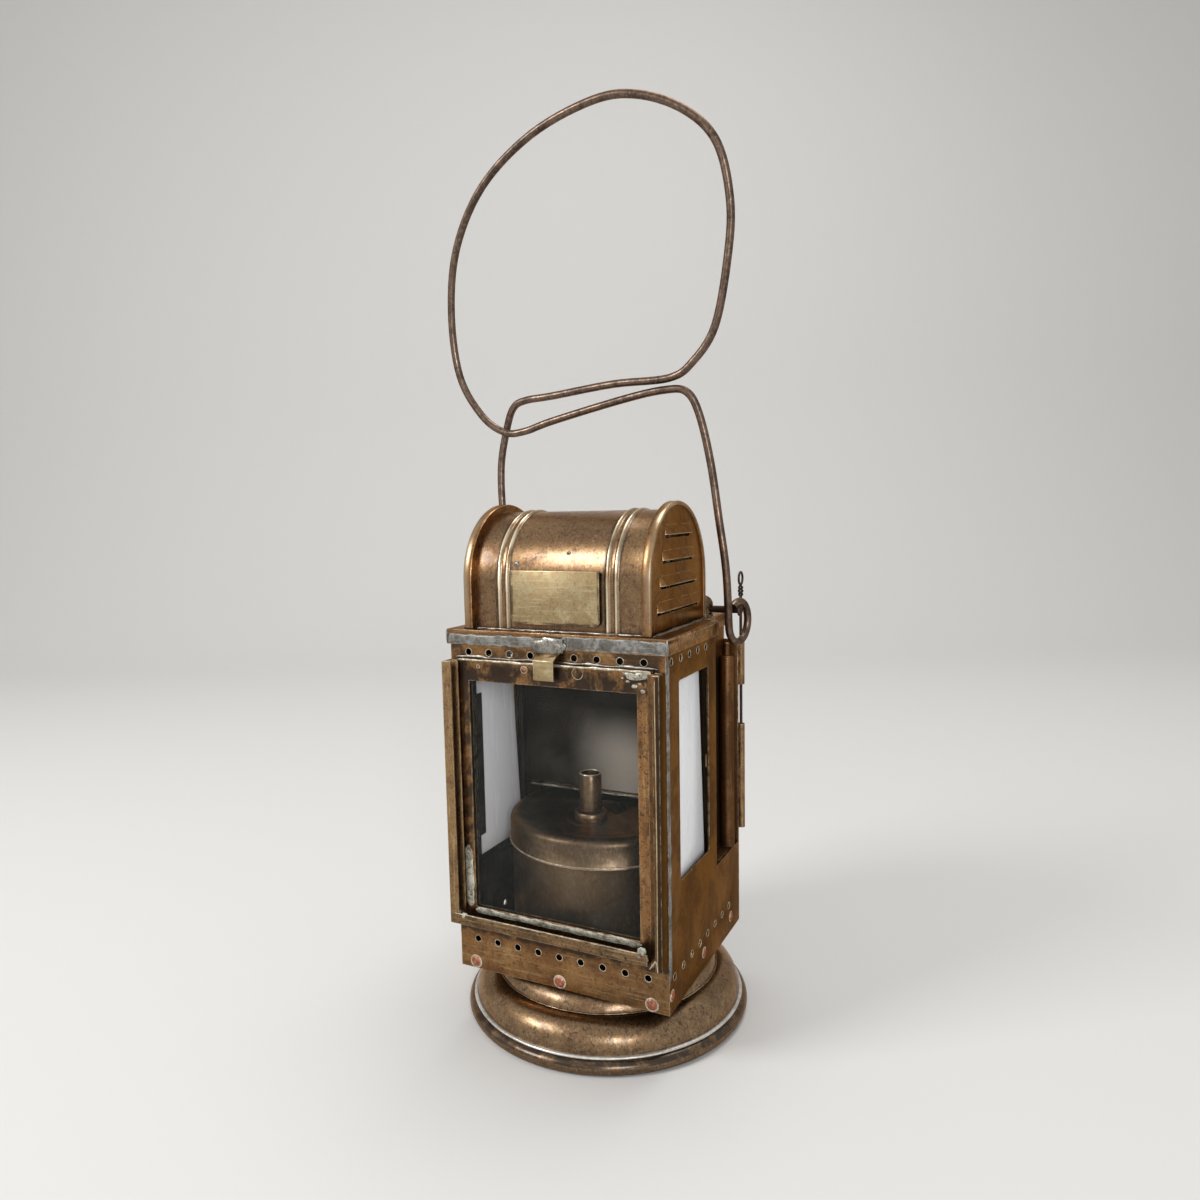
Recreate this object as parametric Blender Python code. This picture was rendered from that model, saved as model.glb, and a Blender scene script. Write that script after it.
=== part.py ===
"""Hand signal lamp in sheet brass: an oil lantern under a barrel roof, on a spun foot, with a wire bail."""
import math

import bmesh
import bpy
from mathutils import Matrix, Vector

# Sizes in metres. +X is the lamp's right, -Y its lit front, +Z is up, and zero is under the foot's middle.

# Sheet stock and the room that separate pieces keep
SHEET = 0.0009
SPRING_SHEET = 0.0008
GAP = 0.0003
OVERRUN = 0.002

# Casing
CASE_WIDTH = 0.100
CASE_DEPTH = 0.094
CASE_HEIGHT = 0.1515
CHAMBER_DEPTH = 0.060
LOWER_HEIGHT = 0.040
RECESS_DEPTH = 0.007
PARTITION_ROOM = 0.0018

# Foot
FOOT_RADIUS = 0.065
FOOT_SHEET = 0.0012
FOOT_BEAD_RADIUS = 0.0032
FOOT_FLAT = 0.0016
BEAD_SWING = math.radians(80)
SHOULDER_INSET = 0.0038
SHOULDER_LOW = 0.0080
SHOULDER_TOP = 0.0190
NECK_PROUD = 0.0008
NECK_HEIGHT = 0.0070
FOOT_HOLE_RADIUS = 0.018
FOOT_SEGMENTS = 48

# Punched air holes
HOLE_RADIUS = 0.0016
HOLE_PITCH = 0.0102
HOLE_SIDES = 10
LOW_ROW_RISE = 0.014
HIGH_ROW_DROP = 0.0085
SIDE_ROW_START = 0.0058
FRONT_HOLES = 9
SIDE_LOW_HOLES = 8
SIDE_HIGH_HOLES = 5

# Front window with its soldered glass frame and the guides for a slide. Here and below, a sill or foot is
# measured up from the casing's bottom and a head down from its top
FRONT_OPENING_MARGIN = 0.0104
FRONT_OPENING_SILL = 0.0300
FRONT_OPENING_HEAD = 0.0198
FRAME_COVER = 0.0006
FRAME_HEAD = 0.0112
FRAME_DEPTH = 0.0028
GLASS_REBATE = 0.0020
GLASS_THICKNESS = 0.0012
GUIDE_REACH = 0.0074
GUIDE_INNER_REACH = 0.0042
GUIDE_OUTER_LIP = 0.0046
GUIDE_INNER_LIP = 0.0061
GUIDE_BACK_LIP = 0.0048
GUIDE_FOOT = 0.0216
GUIDE_HEAD = 0.0120
SILL_FOOT = 0.0230
SILL_LIP = 0.0046

# Spring catch over the front window
CATCH_X = -0.0006
CATCH_ROOT_HALF = 0.0068
CATCH_TONGUE_HALF = 0.0047
CATCH_ROOT_HEIGHT = 0.0058
CATCH_FOLD_DROP = 0.0022
CATCH_REACH = 0.0052
CATCH_TIP_DROP = 0.0108

# Side windows, their rails and opal panes
WINDOW_START = 0.0140
WINDOW_END = 0.0100
WINDOW_SILL = 0.0510
WINDOW_HEAD = 0.0175
WINDOW_CORNER = 0.0015
PANE_THICKNESS = 0.0018
PANE_MARGIN = 0.0020
PANE_FRONT_MARGIN = 0.0036
PANE_BELOW = 0.0048
PANE_ABOVE = 0.0035
RAIL_LIP = 0.0006
RAIL_COVER = 0.0012
RAIL_STILE = 0.0017
RAIL_HEAD = 0.0125

# Rear frame, door and hinge
REAR_SILL = 0.0080
REAR_HEAD = 0.0175
REAR_POST = 0.0090
DOOR_FOOT = 0.0015
DOOR_HEAD = 0.0125
DOOR_LIP_DEPTH = 0.0060
DOOR_FIELD_MARGIN = 0.0100
DOOR_FIELD_RISE = 0.0010
KNUCKLE_RADIUS = 0.00175
KNUCKLE_BORE = 0.00145
HINGE_OUT = 0.0006
KNUCKLE_RISES = (0.0450, 0.0599, 0.0757, 0.0968, 0.1159)
KNUCKLE_GAP = 0.0003
KNUCKLE_SIDES = 12

# Hinge pin of doubled wire with a twisted ring
PIN_WIRE = 0.00052
PIN_SPREAD = 0.00060
PIN_SHORT = 0.0015
PIN_STAND = 0.0212
PIN_TWIST_LENGTH = 0.0050
PIN_TWIST_OUT = 0.00085
PIN_TWIST_TURNS = 1.5
PIN_RING_RADIUS = 0.0030
PIN_RING_MOUTH = 0.00096

# Columns in the rear corners
COLUMN_RADIUS = 0.0034
COLUMN_INSET = 0.0080
COLUMN_HEAD = 0.0190
COLUMN_STUB_RADIUS = 0.0013
COLUMN_STUB_HEIGHT = 0.0065
COLUMN_EDGE = 0.0008
COLUMN_SEGMENTS = 18

# Soldered cover over the casing
COVER_LIP = 0.0065
COVER_CORNER = 0.0004
VENT_END_MARGIN = 0.0135
VENT_SIDE_MARGIN = 0.0092

# Barrel roof with its end caps and name plate
ROOF_START = 0.0340
ROOF_WALL = 0.0203
ROOF_RADIUS = 0.0292
ROOF_STEPS = 16
RIB_RISE = 0.0010
RIB_HALF = 0.0011
RIB_INSETS = (0.0162, 0.0201)
CAP_PROUD = 0.0035
CAP_INSET = 0.0065
CAP_DEPTH = 0.0040
CAP_STEPS = 24
LOUVRE_RISE = 0.0013
LOUVRE_HEIGHT = 0.0068
LOUVRE_SHEET = 0.0007
LOUVRE_SLOT = 0.0016
LOUVRE_FIRST_DROP = 0.0137
LOUVRE_PITCH = 0.0102
LOUVRE_FIRST_HALF = 0.0147
LOUVRE_GROWTH = 0.0032
LOUVRES = 4
PLATE_X = -0.0003
PLATE_HALF = 0.0206
PLATE_RISE = 0.0025
PLATE_HEIGHT = 0.0225
PLATE_THICKNESS = 0.0010
PLATE_CORNER = 0.0025
PLATE_CORNER_STEPS = 3

# Oil tank and burner
TANK_ROOM = 0.0070
TANK_REAR_ROOM = 0.0040
TANK_HEIGHT = 0.0520
TANK_SHEET = 0.0010
TANK_SEGMENTS = 48
TANK_CORNER = 0.0020
LID_PROUD = 0.0007
LID_HEIGHT = 0.0117
LID_ROUND = 0.0035
LID_DISH = 0.0008
BURNER_START = 0.0330
BUSH_BORE = 0.0060
BUSH_RADIUS = 0.0105
COLLAR_RADIUS = 0.0075
COLLAR_HEIGHT = 0.0036
TUBE_RADIUS = 0.0050
TUBE_WALL = 0.0007
TUBE_HEIGHT = 0.0166
WICK_RADIUS = 0.0038
WICK_PROUD = 0.0012
WICK_RISE = 0.0068
WICK_SIDES = 12
BURNER_SEGMENTS = 24

# Rod, bosses and bail
ROD_RADIUS = 0.0016
ROD_RISE = 0.0037
ROD_OUT = 0.0072
ROD_SIDES = 14
ROD_HEAD_RADIUS = 0.0027
ROD_HEAD_LENGTH = 0.0015
BOSS_INSET = 0.0095
BOSS_RADIUS = 0.0044
BOSS_NECK_RADIUS = 0.0036
BOSS_FLANGE_HEIGHT = 0.0009
BOSS_WAIST = 0.0018
BOSS_RISE = 0.0055
BOSS_SEGMENTS = 20
BAIL_WIRE = 0.00175
BAIL_OUT = 0.0100
BAIL_REACH = 0.221
BAIL_TILT = math.radians(7.5)
EYE_RADIUS = 0.0092
EYE_OUT = 0.0052
EYE_START = math.radians(90)
EYE_END = math.radians(390)
EYE_STEPS = 20
BAIL_STEPS = 3

# The bail's run from the left foot to the right one: across, up and towards the back, the first two as
# shares of BAIL_HALF and BAIL_REACH and the last as a share of the wire's diameter
BAIL_SHARES = (
    (-0.925, 0.090, -2.50), (-0.980, 0.200, -1.50), (-1.000, 0.310, -0.20), (-0.940, 0.392, 0.60),
    (-0.860, 0.436, 0.60), (-0.740, 0.450, 0.50), (-0.480, 0.455, 0.30), (0.050, 0.468, 0.10),
    (0.500, 0.470, 0.00), (0.690, 0.497, 0.00), (0.870, 0.560, 0.00), (0.985, 0.685, 0.00),
    (1.015, 0.780, 0.00), (0.940, 0.880, 0.00), (0.730, 0.945, 0.00), (0.400, 0.990, 0.00),
    (0.050, 1.000, 0.00), (-0.470, 0.966, 0.00), (-0.930, 0.890, 0.00), (-1.220, 0.780, 0.00),
    (-1.335, 0.650, 0.00), (-1.310, 0.515, -0.20), (-1.120, 0.425, -0.60), (-0.920, 0.386, -0.60),
    (-0.740, 0.385, -0.50), (-0.480, 0.403, -0.30), (0.150, 0.437, -0.10), (0.480, 0.448, 0.00),
    (0.635, 0.440, 0.00), (0.720, 0.395, 0.00), (0.796, 0.300, -0.40), (0.860, 0.190, -1.50),
    (0.915, 0.090, -2.50),
)

# Places that follow from the sizes above
RIGHT = CASE_WIDTH / 2
FRONT = -CASE_DEPTH / 2
REAR = CASE_DEPTH / 2
INNER_RIGHT = RIGHT - SHEET - GAP
INNER_FRONT = FRONT + SHEET + GAP
INNER_REAR = REAR - SHEET - GAP
CASE_BOTTOM = SHOULDER_TOP + NECK_HEIGHT
CASE_TOP = CASE_BOTTOM + CASE_HEIGHT
PARTITION_Y = FRONT + CHAMBER_DEPTH
SHELF_Z = CASE_BOTTOM + LOWER_HEIGHT
RECESS_X = RIGHT - RECESS_DEPTH
MERGE_REACH = GAP / 100
COVER_BOTTOM = CASE_TOP + GAP
COVER_TOP = COVER_BOTTOM + SHEET
COVER_OUT = GAP + SHEET
ROOF_BOTTOM = COVER_TOP + GAP
ROOF_SPRING = COVER_TOP + ROOF_WALL
ROOF_Y = FRONT + ROOF_START
CAP_RADIUS = ROOF_RADIUS + CAP_PROUD
CAP_FACE_X = RIGHT - CAP_INSET
RIB_CENTRES = sorted(side * (CAP_FACE_X - inset) for inset in RIB_INSETS for side in (-1, 1))
VENT_HALF_X = CAP_FACE_X - VENT_END_MARGIN
VENT_HALF_Y = ROOF_RADIUS - VENT_SIDE_MARGIN
PLATE_LOW = ROOF_BOTTOM + PLATE_RISE
PIVOT_Y = ROOF_Y + CAP_RADIUS + GAP + BOSS_RADIUS
LOW_ROW_Z = CASE_BOTTOM + LOW_ROW_RISE
HIGH_ROW_Z = CASE_TOP - HIGH_ROW_DROP
FRONT_OPENING_HALF = RIGHT - FRONT_OPENING_MARGIN
FRONT_OPENING_LOW = CASE_BOTTOM + FRONT_OPENING_SILL
FRONT_OPENING_HIGH = CASE_TOP - FRONT_OPENING_HEAD
FRAME_SIGHT_HALF = FRONT_OPENING_HALF - FRAME_COVER
FRAME_SIGHT_LOW = FRONT_OPENING_LOW + FRAME_COVER
FRAME_SIGHT_HIGH = FRONT_OPENING_HIGH - FRAME_COVER
FRAME_TOP = CASE_TOP - FRAME_HEAD
GUIDE_BOTTOM = CASE_BOTTOM + GUIDE_FOOT
GUIDE_TOP = CASE_TOP - GUIDE_HEAD
SILL_BOTTOM = CASE_BOTTOM + SILL_FOOT
WINDOW_Y = FRONT + WINDOW_START
WINDOW_WIDTH = CHAMBER_DEPTH - WINDOW_START - WINDOW_END
WINDOW_LOW = CASE_BOTTOM + WINDOW_SILL
WINDOW_HIGH = CASE_TOP - WINDOW_HEAD
PANE_LOW = WINDOW_LOW - PANE_BELOW
PANE_HIGH = WINDOW_HIGH + PANE_ABOVE
RAIL_TOP = CASE_TOP - RAIL_HEAD
HINGE_X = RIGHT + HINGE_OUT
DOOR_Y = REAR + GAP
DOOR_LOW = CASE_BOTTOM + DOOR_FOOT
DOOR_HIGH = CASE_TOP - DOOR_HEAD
REAR_WING_TOP = DOOR_HIGH + 2 * GAP
KNUCKLE_EDGES = tuple(DOOR_LOW + rise for rise in KNUCKLE_RISES) + (DOOR_HIGH,)
PIN_LOW = KNUCKLE_EDGES[0] + PIN_SHORT
PIN_TWIST_LOW = DOOR_HIGH + PIN_STAND
PIN_TWIST_HIGH = PIN_TWIST_LOW + PIN_TWIST_LENGTH
COLUMN_Y = REAR - COLUMN_INSET
COLUMN_TOP = CASE_TOP - COLUMN_HEAD
HINGE_Y = DOOR_Y + KNUCKLE_RADIUS
NECK_RADIUS = RIGHT + NECK_PROUD
SHOULDER_RADIUS = FOOT_RADIUS - SHOULDER_INSET
TANK_RADIUS = min(RIGHT - TANK_ROOM, REAR - TANK_REAR_ROOM)
LID_RADIUS = TANK_RADIUS + LID_PROUD
TANK_BOTTOM = CASE_BOTTOM + SHEET + GAP
TANK_TOP = TANK_BOTTOM + TANK_HEIGHT
LID_BOTTOM = TANK_TOP + GAP
LID_TOP = LID_BOTTOM + LID_HEIGHT
PARTITION_LOW = LID_TOP + PARTITION_ROOM
BURNER_Y = FRONT + BURNER_START
WICK_LOW = TANK_BOTTOM + WICK_RISE
ROD_Z = COVER_TOP + ROD_RISE
ROD_END = RIGHT + ROD_OUT
BOSS_X = RIGHT - BOSS_INSET
BOSS_DOME_Z = COVER_TOP + BOSS_RISE
BAIL_HALF = RIGHT + BAIL_OUT
EYE_X = RIGHT + EYE_OUT

BRASS = ("brass", (0.42, 0.25, 0.10), 0.42, 1.0)
DARK_BRASS = ("dark_brass", (0.23, 0.14, 0.07), 0.48, 1.0)
SOLDERED = ("soldered_brass", (0.38, 0.36, 0.30), 0.50, 1.0)
PLATE_BRASS = ("plate_brass", (0.55, 0.47, 0.28), 0.35, 1.0)
IRON_WIRE = ("iron_wire", (0.17, 0.12, 0.09), 0.45, 1.0)
OPAL = ("opal_glass", (0.80, 0.80, 0.79), 0.25, 0.0)
CLEAR = ("clear_glass", (0.85, 0.90, 0.90), 0.05, 0.0)
COTTON = ("cotton_wick", (0.62, 0.58, 0.50), 0.95, 0.0)


def clear_scene():
    for thing in list(bpy.data.objects):
        bpy.data.objects.remove(thing, do_unlink=True)


def give_material(piece, look):
    label, colour, roughness, metallic = look
    material = bpy.data.materials.new(piece.name + "_" + label)
    material.use_nodes = True
    shader = material.node_tree.nodes["Principled BSDF"]
    shader.inputs["Base Color"].default_value = (*colour, 1)
    shader.inputs["Roughness"].default_value = roughness
    shader.inputs["Metallic"].default_value = metallic
    piece.data.materials.clear()
    piece.data.materials.append(material)


def finish_mesh(name, bm, look):
    bmesh.ops.recalc_face_normals(bm, faces=bm.faces)
    mesh = bpy.data.meshes.new(name)
    bm.to_mesh(mesh)
    bm.free()
    piece = bpy.data.objects.new(name, mesh)
    bpy.context.collection.objects.link(piece)
    if look is not None:
        give_material(piece, look)
    mesh.shade_smooth()
    mesh.set_sharp_from_angle(angle=math.radians(35))
    return piece


def add_box(bm, low, high):
    """Add a box between two corners."""
    middle = [(a + b) / 2 for a, b in zip(low, high)]
    span = [b - a for a, b in zip(low, high)]
    place = Matrix.Translation(middle) @ Matrix.Diagonal((*span, 1))
    bmesh.ops.create_cube(bm, size=1, matrix=place)


def box_piece(name, low, high, look):
    bm = bmesh.new()
    add_box(bm, low, high)
    return finish_mesh(name, bm, look)


def add_prism(bm, outline, start, end, axis):
    """Extrude a closed outline along X, Y or Z between two levels."""
    order = {"X": (2, 0, 1), "Y": (0, 2, 1), "Z": (0, 1, 2)}[axis]
    corners = []
    for a, b in outline:
        local = (a, b, start)
        corners.append(bm.verts.new([local[k] for k in order]))
    face = bm.faces.new(corners)
    moved = bmesh.ops.extrude_face_region(bm, geom=[face])["geom"]
    verts = [item for item in moved if isinstance(item, bmesh.types.BMVert)]
    push = {"X": (1, 0, 0), "Y": (0, 1, 0), "Z": (0, 0, 1)}[axis]
    bmesh.ops.translate(bm, verts=verts, vec=Vector(push) * (end - start))


def prism_piece(name, outline, start, end, axis, look):
    bm = bmesh.new()
    add_prism(bm, outline, start, end, axis)
    return finish_mesh(name, bm, look)


def add_rod(bm, start, end, radius, sides):
    """Add a closed round rod between two points."""
    start, end = Vector(start), Vector(end)
    run = end - start
    turn = run.to_track_quat("Z", "Y").to_matrix().to_4x4()
    place = Matrix.Translation((start + end) / 2) @ turn
    bmesh.ops.create_cone(bm, cap_ends=True, segments=sides, radius1=radius, radius2=radius,
                          depth=run.length, matrix=place)


def turned_piece(name, profile, centre, segments, look):
    """Turn a closed outline of (radius, height) points about an upright axis."""
    bm = bmesh.new()
    verts = [bm.verts.new((r, 0, z)) for r, z in profile]
    loop = verts + verts[:1]
    edges = [bm.edges.new(pair) for pair in zip(loop, loop[1:])]
    bmesh.ops.spin(bm, geom=verts + edges, cent=(0, 0, 0), axis=(0, 0, 1), dvec=(0, 0, 0),
                   angle=math.tau, steps=segments, use_merge=True)
    bmesh.ops.remove_doubles(bm, verts=bm.verts, dist=MERGE_REACH)
    bmesh.ops.translate(bm, verts=bm.verts, vec=(*centre, 0))
    return finish_mesh(name, bm, look)


def combine(piece, other, operation):
    """Cut a piece by a hidden shape, or join the shape to it."""
    other.hide_render = True
    other.display_type = "WIRE"
    modifier = piece.modifiers.new(operation.title(), "BOOLEAN")
    modifier.operation = operation
    modifier.solver = "EXACT"
    modifier.object = other
    return piece


def cutter(name, build):
    bm = bmesh.new()
    build(bm)
    return finish_mesh(name, bm, None)


def wire_piece(name, points, radius, look, resolution=2):
    """Run a round wire along a line of points, with closed ends."""
    curve = bpy.data.curves.new(name, "CURVE")
    curve.dimensions = "3D"
    curve.bevel_depth = radius
    curve.bevel_resolution = resolution
    curve.use_fill_caps = True
    spline = curve.splines.new("POLY")
    spline.points.add(len(points) - 1)
    for slot, point in zip(spline.points, points):
        slot.co = (*point, 1)
    wire = bpy.data.objects.new(name, curve)
    bpy.context.collection.objects.link(wire)
    give_material(wire, look)
    return wire


def arch_outline(radius, bottom, steps):
    """Front wall, half circle and rear wall of the roof's outline as (y, z) points."""
    points = [(ROOF_Y - radius, bottom)]
    for step in range(steps + 1):
        angle = math.pi * step / steps
        points.append((ROOF_Y - radius * math.cos(angle), ROOF_SPRING + radius * math.sin(angle)))
    points.append((ROOF_Y + radius, bottom))
    return points


def rounded_rectangle(low, high, radius, steps=3):
    """Outline of a rectangle with rounded corners."""
    (x0, y0), (x1, y1) = low, high
    centres = ((x1 - radius, y1 - radius), (x0 + radius, y1 - radius),
               (x0 + radius, y0 + radius), (x1 - radius, y0 + radius))
    points = []
    for quarter, (cx, cy) in enumerate(centres):
        for step in range(steps + 1):
            angle = (quarter + step / steps) * math.pi / 2
            points.append((cx + radius * math.cos(angle), cy + radius * math.sin(angle)))
    return points


def smooth_run(points, steps):
    """Read evenly spaced points from a smooth curve through the given ones."""
    padded = [points[0] * 2 - points[1]] + list(points) + [points[-1] * 2 - points[-2]]
    run = []
    for p0, p1, p2, p3 in zip(padded, padded[1:], padded[2:], padded[3:]):
        for step in range(steps):
            t = step / steps
            run.append(0.5 * ((2 * p1) + (p2 - p0) * t + (2 * p0 - 5 * p1 + 4 * p2 - p3) * t * t
                              + (3 * p1 - p0 - 3 * p2 + p3) * t * t * t))
    run.append(points[-1])
    return run


# Foot

def make_base_foot():
    """Spun dish with a wired edge: top flange, bulged shoulder and round bead, all one sheet."""
    bead_x = FOOT_RADIUS - FOOT_BEAD_RADIUS
    bead_z = FOOT_BEAD_RADIUS
    outer = [(FOOT_HOLE_RADIUS, SHOULDER_TOP)]
    inner = [(FOOT_HOLE_RADIUS, SHOULDER_TOP - FOOT_SHEET)]
    steps = 6
    for step in range(steps + 1):
        swing = math.pi / 2 * step / steps
        outer.append((NECK_RADIUS + (SHOULDER_RADIUS - NECK_RADIUS) * math.sin(swing),
                      SHOULDER_LOW + (SHOULDER_TOP - SHOULDER_LOW) * math.cos(swing)))
        inner.append((NECK_RADIUS + (SHOULDER_RADIUS - FOOT_SHEET - NECK_RADIUS) * math.sin(swing),
                      SHOULDER_LOW + (SHOULDER_TOP - FOOT_SHEET - SHOULDER_LOW) * math.cos(swing)))
    bead = []
    bead_steps = 9
    for step in range(bead_steps + 1):
        angle = BEAD_SWING * (1 - 2 * step / bead_steps)
        bead.append((bead_x + FOOT_BEAD_RADIUS * math.cos(angle),
                     bead_z + FOOT_BEAD_RADIUS * math.sin(angle)))
    flat = [(bead_x + FOOT_FLAT / 2, 0), (bead_x - FOOT_FLAT / 2, 0),
            (bead_x - FOOT_BEAD_RADIUS, bead_z / 2)]
    profile = outer + bead + flat + inner[::-1]
    return turned_piece("base_foot", profile, (0, 0), FOOT_SEGMENTS, BRASS)


def make_neck_ring():
    """Short turned collar between the foot and the casing, flanged where it meets the foot."""
    low = SHOULDER_TOP + GAP
    high = CASE_BOTTOM - GAP
    inner = NECK_RADIUS - 2 * SHEET
    flange = SHEET
    profile = [(inner, high), (NECK_RADIUS - SHEET, high), (NECK_RADIUS - SHEET, low + flange),
               (NECK_RADIUS, low + flange / 2), (NECK_RADIUS, low), (inner, low)]
    return turned_piece("neck_ring", profile, (0, 0), FOOT_SEGMENTS, BRASS)


# Casing

def make_case_floor():
    return box_piece("case_floor", (-INNER_RIGHT, INNER_FRONT, CASE_BOTTOM),
                     (INNER_RIGHT, INNER_REAR, CASE_BOTTOM + SHEET), BRASS)


def make_front_panel():
    """Front sheet with the window opening and a row of air holes above and below it."""
    panel = box_piece("front_panel", (-RIGHT, FRONT, CASE_BOTTOM), (RIGHT, FRONT + SHEET, CASE_TOP), BRASS)

    def cuts(bm):
        add_box(bm, (-FRONT_OPENING_HALF, FRONT - OVERRUN, FRONT_OPENING_LOW),
                (FRONT_OPENING_HALF, FRONT + SHEET + OVERRUN, FRONT_OPENING_HIGH))
        for z in (LOW_ROW_Z, HIGH_ROW_Z):
            for place in range(FRONT_HOLES):
                x = (place - (FRONT_HOLES - 1) / 2) * HOLE_PITCH
                add_rod(bm, (x, FRONT - OVERRUN, z), (x, FRONT + SHEET + OVERRUN, z), HOLE_RADIUS,
                        HOLE_SIDES)

    return combine(panel, cutter("front_panel_cuts", cuts), "DIFFERENCE")


def make_side_panel(side, label):
    """Side sheet: the chamber's wall with its window, and the lower wall that runs on to the rear."""
    outline = [(INNER_FRONT, CASE_BOTTOM), (INNER_REAR, CASE_BOTTOM), (INNER_REAR, SHELF_Z),
               (PARTITION_Y, SHELF_Z), (PARTITION_Y, CASE_TOP), (INNER_FRONT, CASE_TOP)]
    near = RIGHT - SHEET
    inner, outer = sorted((side * near, side * RIGHT))
    panel = prism_piece("side_panel_" + label, outline, inner, outer, "X", BRASS)

    def cuts(bm):
        window = rounded_rectangle((WINDOW_Y, WINDOW_LOW), (WINDOW_Y + WINDOW_WIDTH, WINDOW_HIGH),
                                   WINDOW_CORNER, 2)
        add_prism(bm, window, inner - OVERRUN, outer + OVERRUN, "X")
        for z, count in ((LOW_ROW_Z, SIDE_LOW_HOLES), (HIGH_ROW_Z, SIDE_HIGH_HOLES)):
            for place in range(count):
                y = FRONT + SIDE_ROW_START + place * HOLE_PITCH
                add_rod(bm, (inner - OVERRUN, y, z), (outer + OVERRUN, y, z), HOLE_RADIUS, HOLE_SIDES)

    return combine(panel, cutter("side_cuts_" + label, cuts), "DIFFERENCE")


def make_recess_wall(side, label):
    """Folded sheet that sets the rear upper corner back: an upright wall and a ledge at its foot."""
    inner = RECESS_X - SHEET
    outline = [(inner, SHELF_Z - SHEET), (INNER_RIGHT, SHELF_Z - SHEET), (INNER_RIGHT, SHELF_Z),
               (RECESS_X, SHELF_Z), (RECESS_X, CASE_TOP), (inner, CASE_TOP)]
    outline = [(side * x, z) for x, z in outline]
    return prism_piece("recess_wall_" + label, outline, PARTITION_Y + GAP, INNER_REAR, "Y", BRASS)


def make_partition():
    """Polished sheet behind the flame."""
    return box_piece("reflector_wall", (-INNER_RIGHT, PARTITION_Y - SHEET, PARTITION_LOW),
                     (INNER_RIGHT, PARTITION_Y, CASE_TOP), DARK_BRASS)


# Front window

def make_front_frame():
    """Soldered sheet frame with a groove round the clear pane."""
    half = RIGHT - GUIDE_BACK_LIP - GAP
    back = FRONT - GAP
    front = back - FRAME_DEPTH
    low = SILL_BOTTOM + SPRING_SHEET + GAP
    frame = box_piece("front_frame", (-half, front, low), (half, back, FRAME_TOP), SOLDERED)
    groove = (FRAME_DEPTH - GLASS_THICKNESS) / 2 - GAP

    def cuts(bm):
        add_box(bm, (-FRAME_SIGHT_HALF, front - OVERRUN, FRAME_SIGHT_LOW),
                (FRAME_SIGHT_HALF, back + OVERRUN, FRAME_SIGHT_HIGH))

    def rebate(bm):
        reach = GLASS_REBATE + GAP
        add_box(bm, (-FRAME_SIGHT_HALF - reach, front + groove, FRAME_SIGHT_LOW - reach),
                (FRAME_SIGHT_HALF + reach, back - groove, FRAME_SIGHT_HIGH + reach))

    combine(frame, cutter("front_frame_sight", cuts), "DIFFERENCE")
    return combine(frame, cutter("front_frame_rebate", rebate), "DIFFERENCE")


def make_front_glass():
    middle = FRONT - GAP - FRAME_DEPTH / 2
    return box_piece("front_glass",
                     (-FRAME_SIGHT_HALF - GLASS_REBATE, middle - GLASS_THICKNESS / 2,
                      FRAME_SIGHT_LOW - GLASS_REBATE),
                     (FRAME_SIGHT_HALF + GLASS_REBATE, middle + GLASS_THICKNESS / 2,
                      FRAME_SIGHT_HIGH + GLASS_REBATE), CLEAR)


def make_guide(side, label):
    """Upright guide folded from one sheet: back lip, inner lip and outer lip off one side wall."""
    back = FRONT - GAP
    outer = FRONT - GUIDE_REACH
    inner = FRONT - GUIDE_INNER_REACH
    wall = RIGHT - SPRING_SHEET
    outline = [(RIGHT, back), (RIGHT, outer), (RIGHT - GUIDE_OUTER_LIP, outer),
               (RIGHT - GUIDE_OUTER_LIP, outer + SPRING_SHEET), (wall, outer + SPRING_SHEET),
               (wall, inner), (RIGHT - GUIDE_INNER_LIP, inner),
               (RIGHT - GUIDE_INNER_LIP, inner + SPRING_SHEET), (wall, inner + SPRING_SHEET),
               (wall, back - SPRING_SHEET), (RIGHT - GUIDE_BACK_LIP, back - SPRING_SHEET),
               (RIGHT - GUIDE_BACK_LIP, back)]
    outline = [(side * x, y) for x, y in outline]
    return prism_piece("guide_" + label, outline, GUIDE_BOTTOM, GUIDE_TOP, "Z", BRASS)


def make_sill():
    """Folded channel that carries the glass frame and stops a slide."""
    half = RIGHT - GUIDE_INNER_LIP - GAP
    back = FRONT - GAP
    outer = FRONT - GUIDE_REACH
    outline = [(back, SILL_BOTTOM), (back, SILL_BOTTOM + SPRING_SHEET),
               (outer + SPRING_SHEET, SILL_BOTTOM + SPRING_SHEET),
               (outer + SPRING_SHEET, SILL_BOTTOM + SILL_LIP), (outer, SILL_BOTTOM + SILL_LIP),
               (outer, SILL_BOTTOM)]
    return prism_piece("sill", outline, -half, half, "X", SOLDERED)


def catch_line():
    """The catch's hinge line on the cover's lip, as (y, z)."""
    return FRONT - COVER_OUT - GAP, COVER_TOP - CATCH_ROOT_HEIGHT - 2 * SHEET


def make_catch():
    """Root strip soldered to the cover's lip, and the sprung tongue that hangs from it."""
    y, z = catch_line()
    box_piece("catch_root", (CATCH_X - CATCH_ROOT_HALF, y - SPRING_SHEET, z),
              (CATCH_X + CATCH_ROOT_HALF, y, z + CATCH_ROOT_HEIGHT), SOLDERED)
    top = z - GAP
    fold = top - CATCH_FOLD_DROP
    tip = top - CATCH_TIP_DROP
    outline = [(y, top), (y - SPRING_SHEET, top), (y - CATCH_REACH, fold), (y - CATCH_REACH, tip),
               (y - CATCH_REACH + SPRING_SHEET, tip), (y - CATCH_REACH + SPRING_SHEET, fold - SPRING_SHEET),
               (y, top - SPRING_SHEET)]
    prism_piece("catch_tongue", outline, CATCH_X - CATCH_TONGUE_HALF, CATCH_X + CATCH_TONGUE_HALF, "X",
                PLATE_BRASS)


# Side windows

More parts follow.
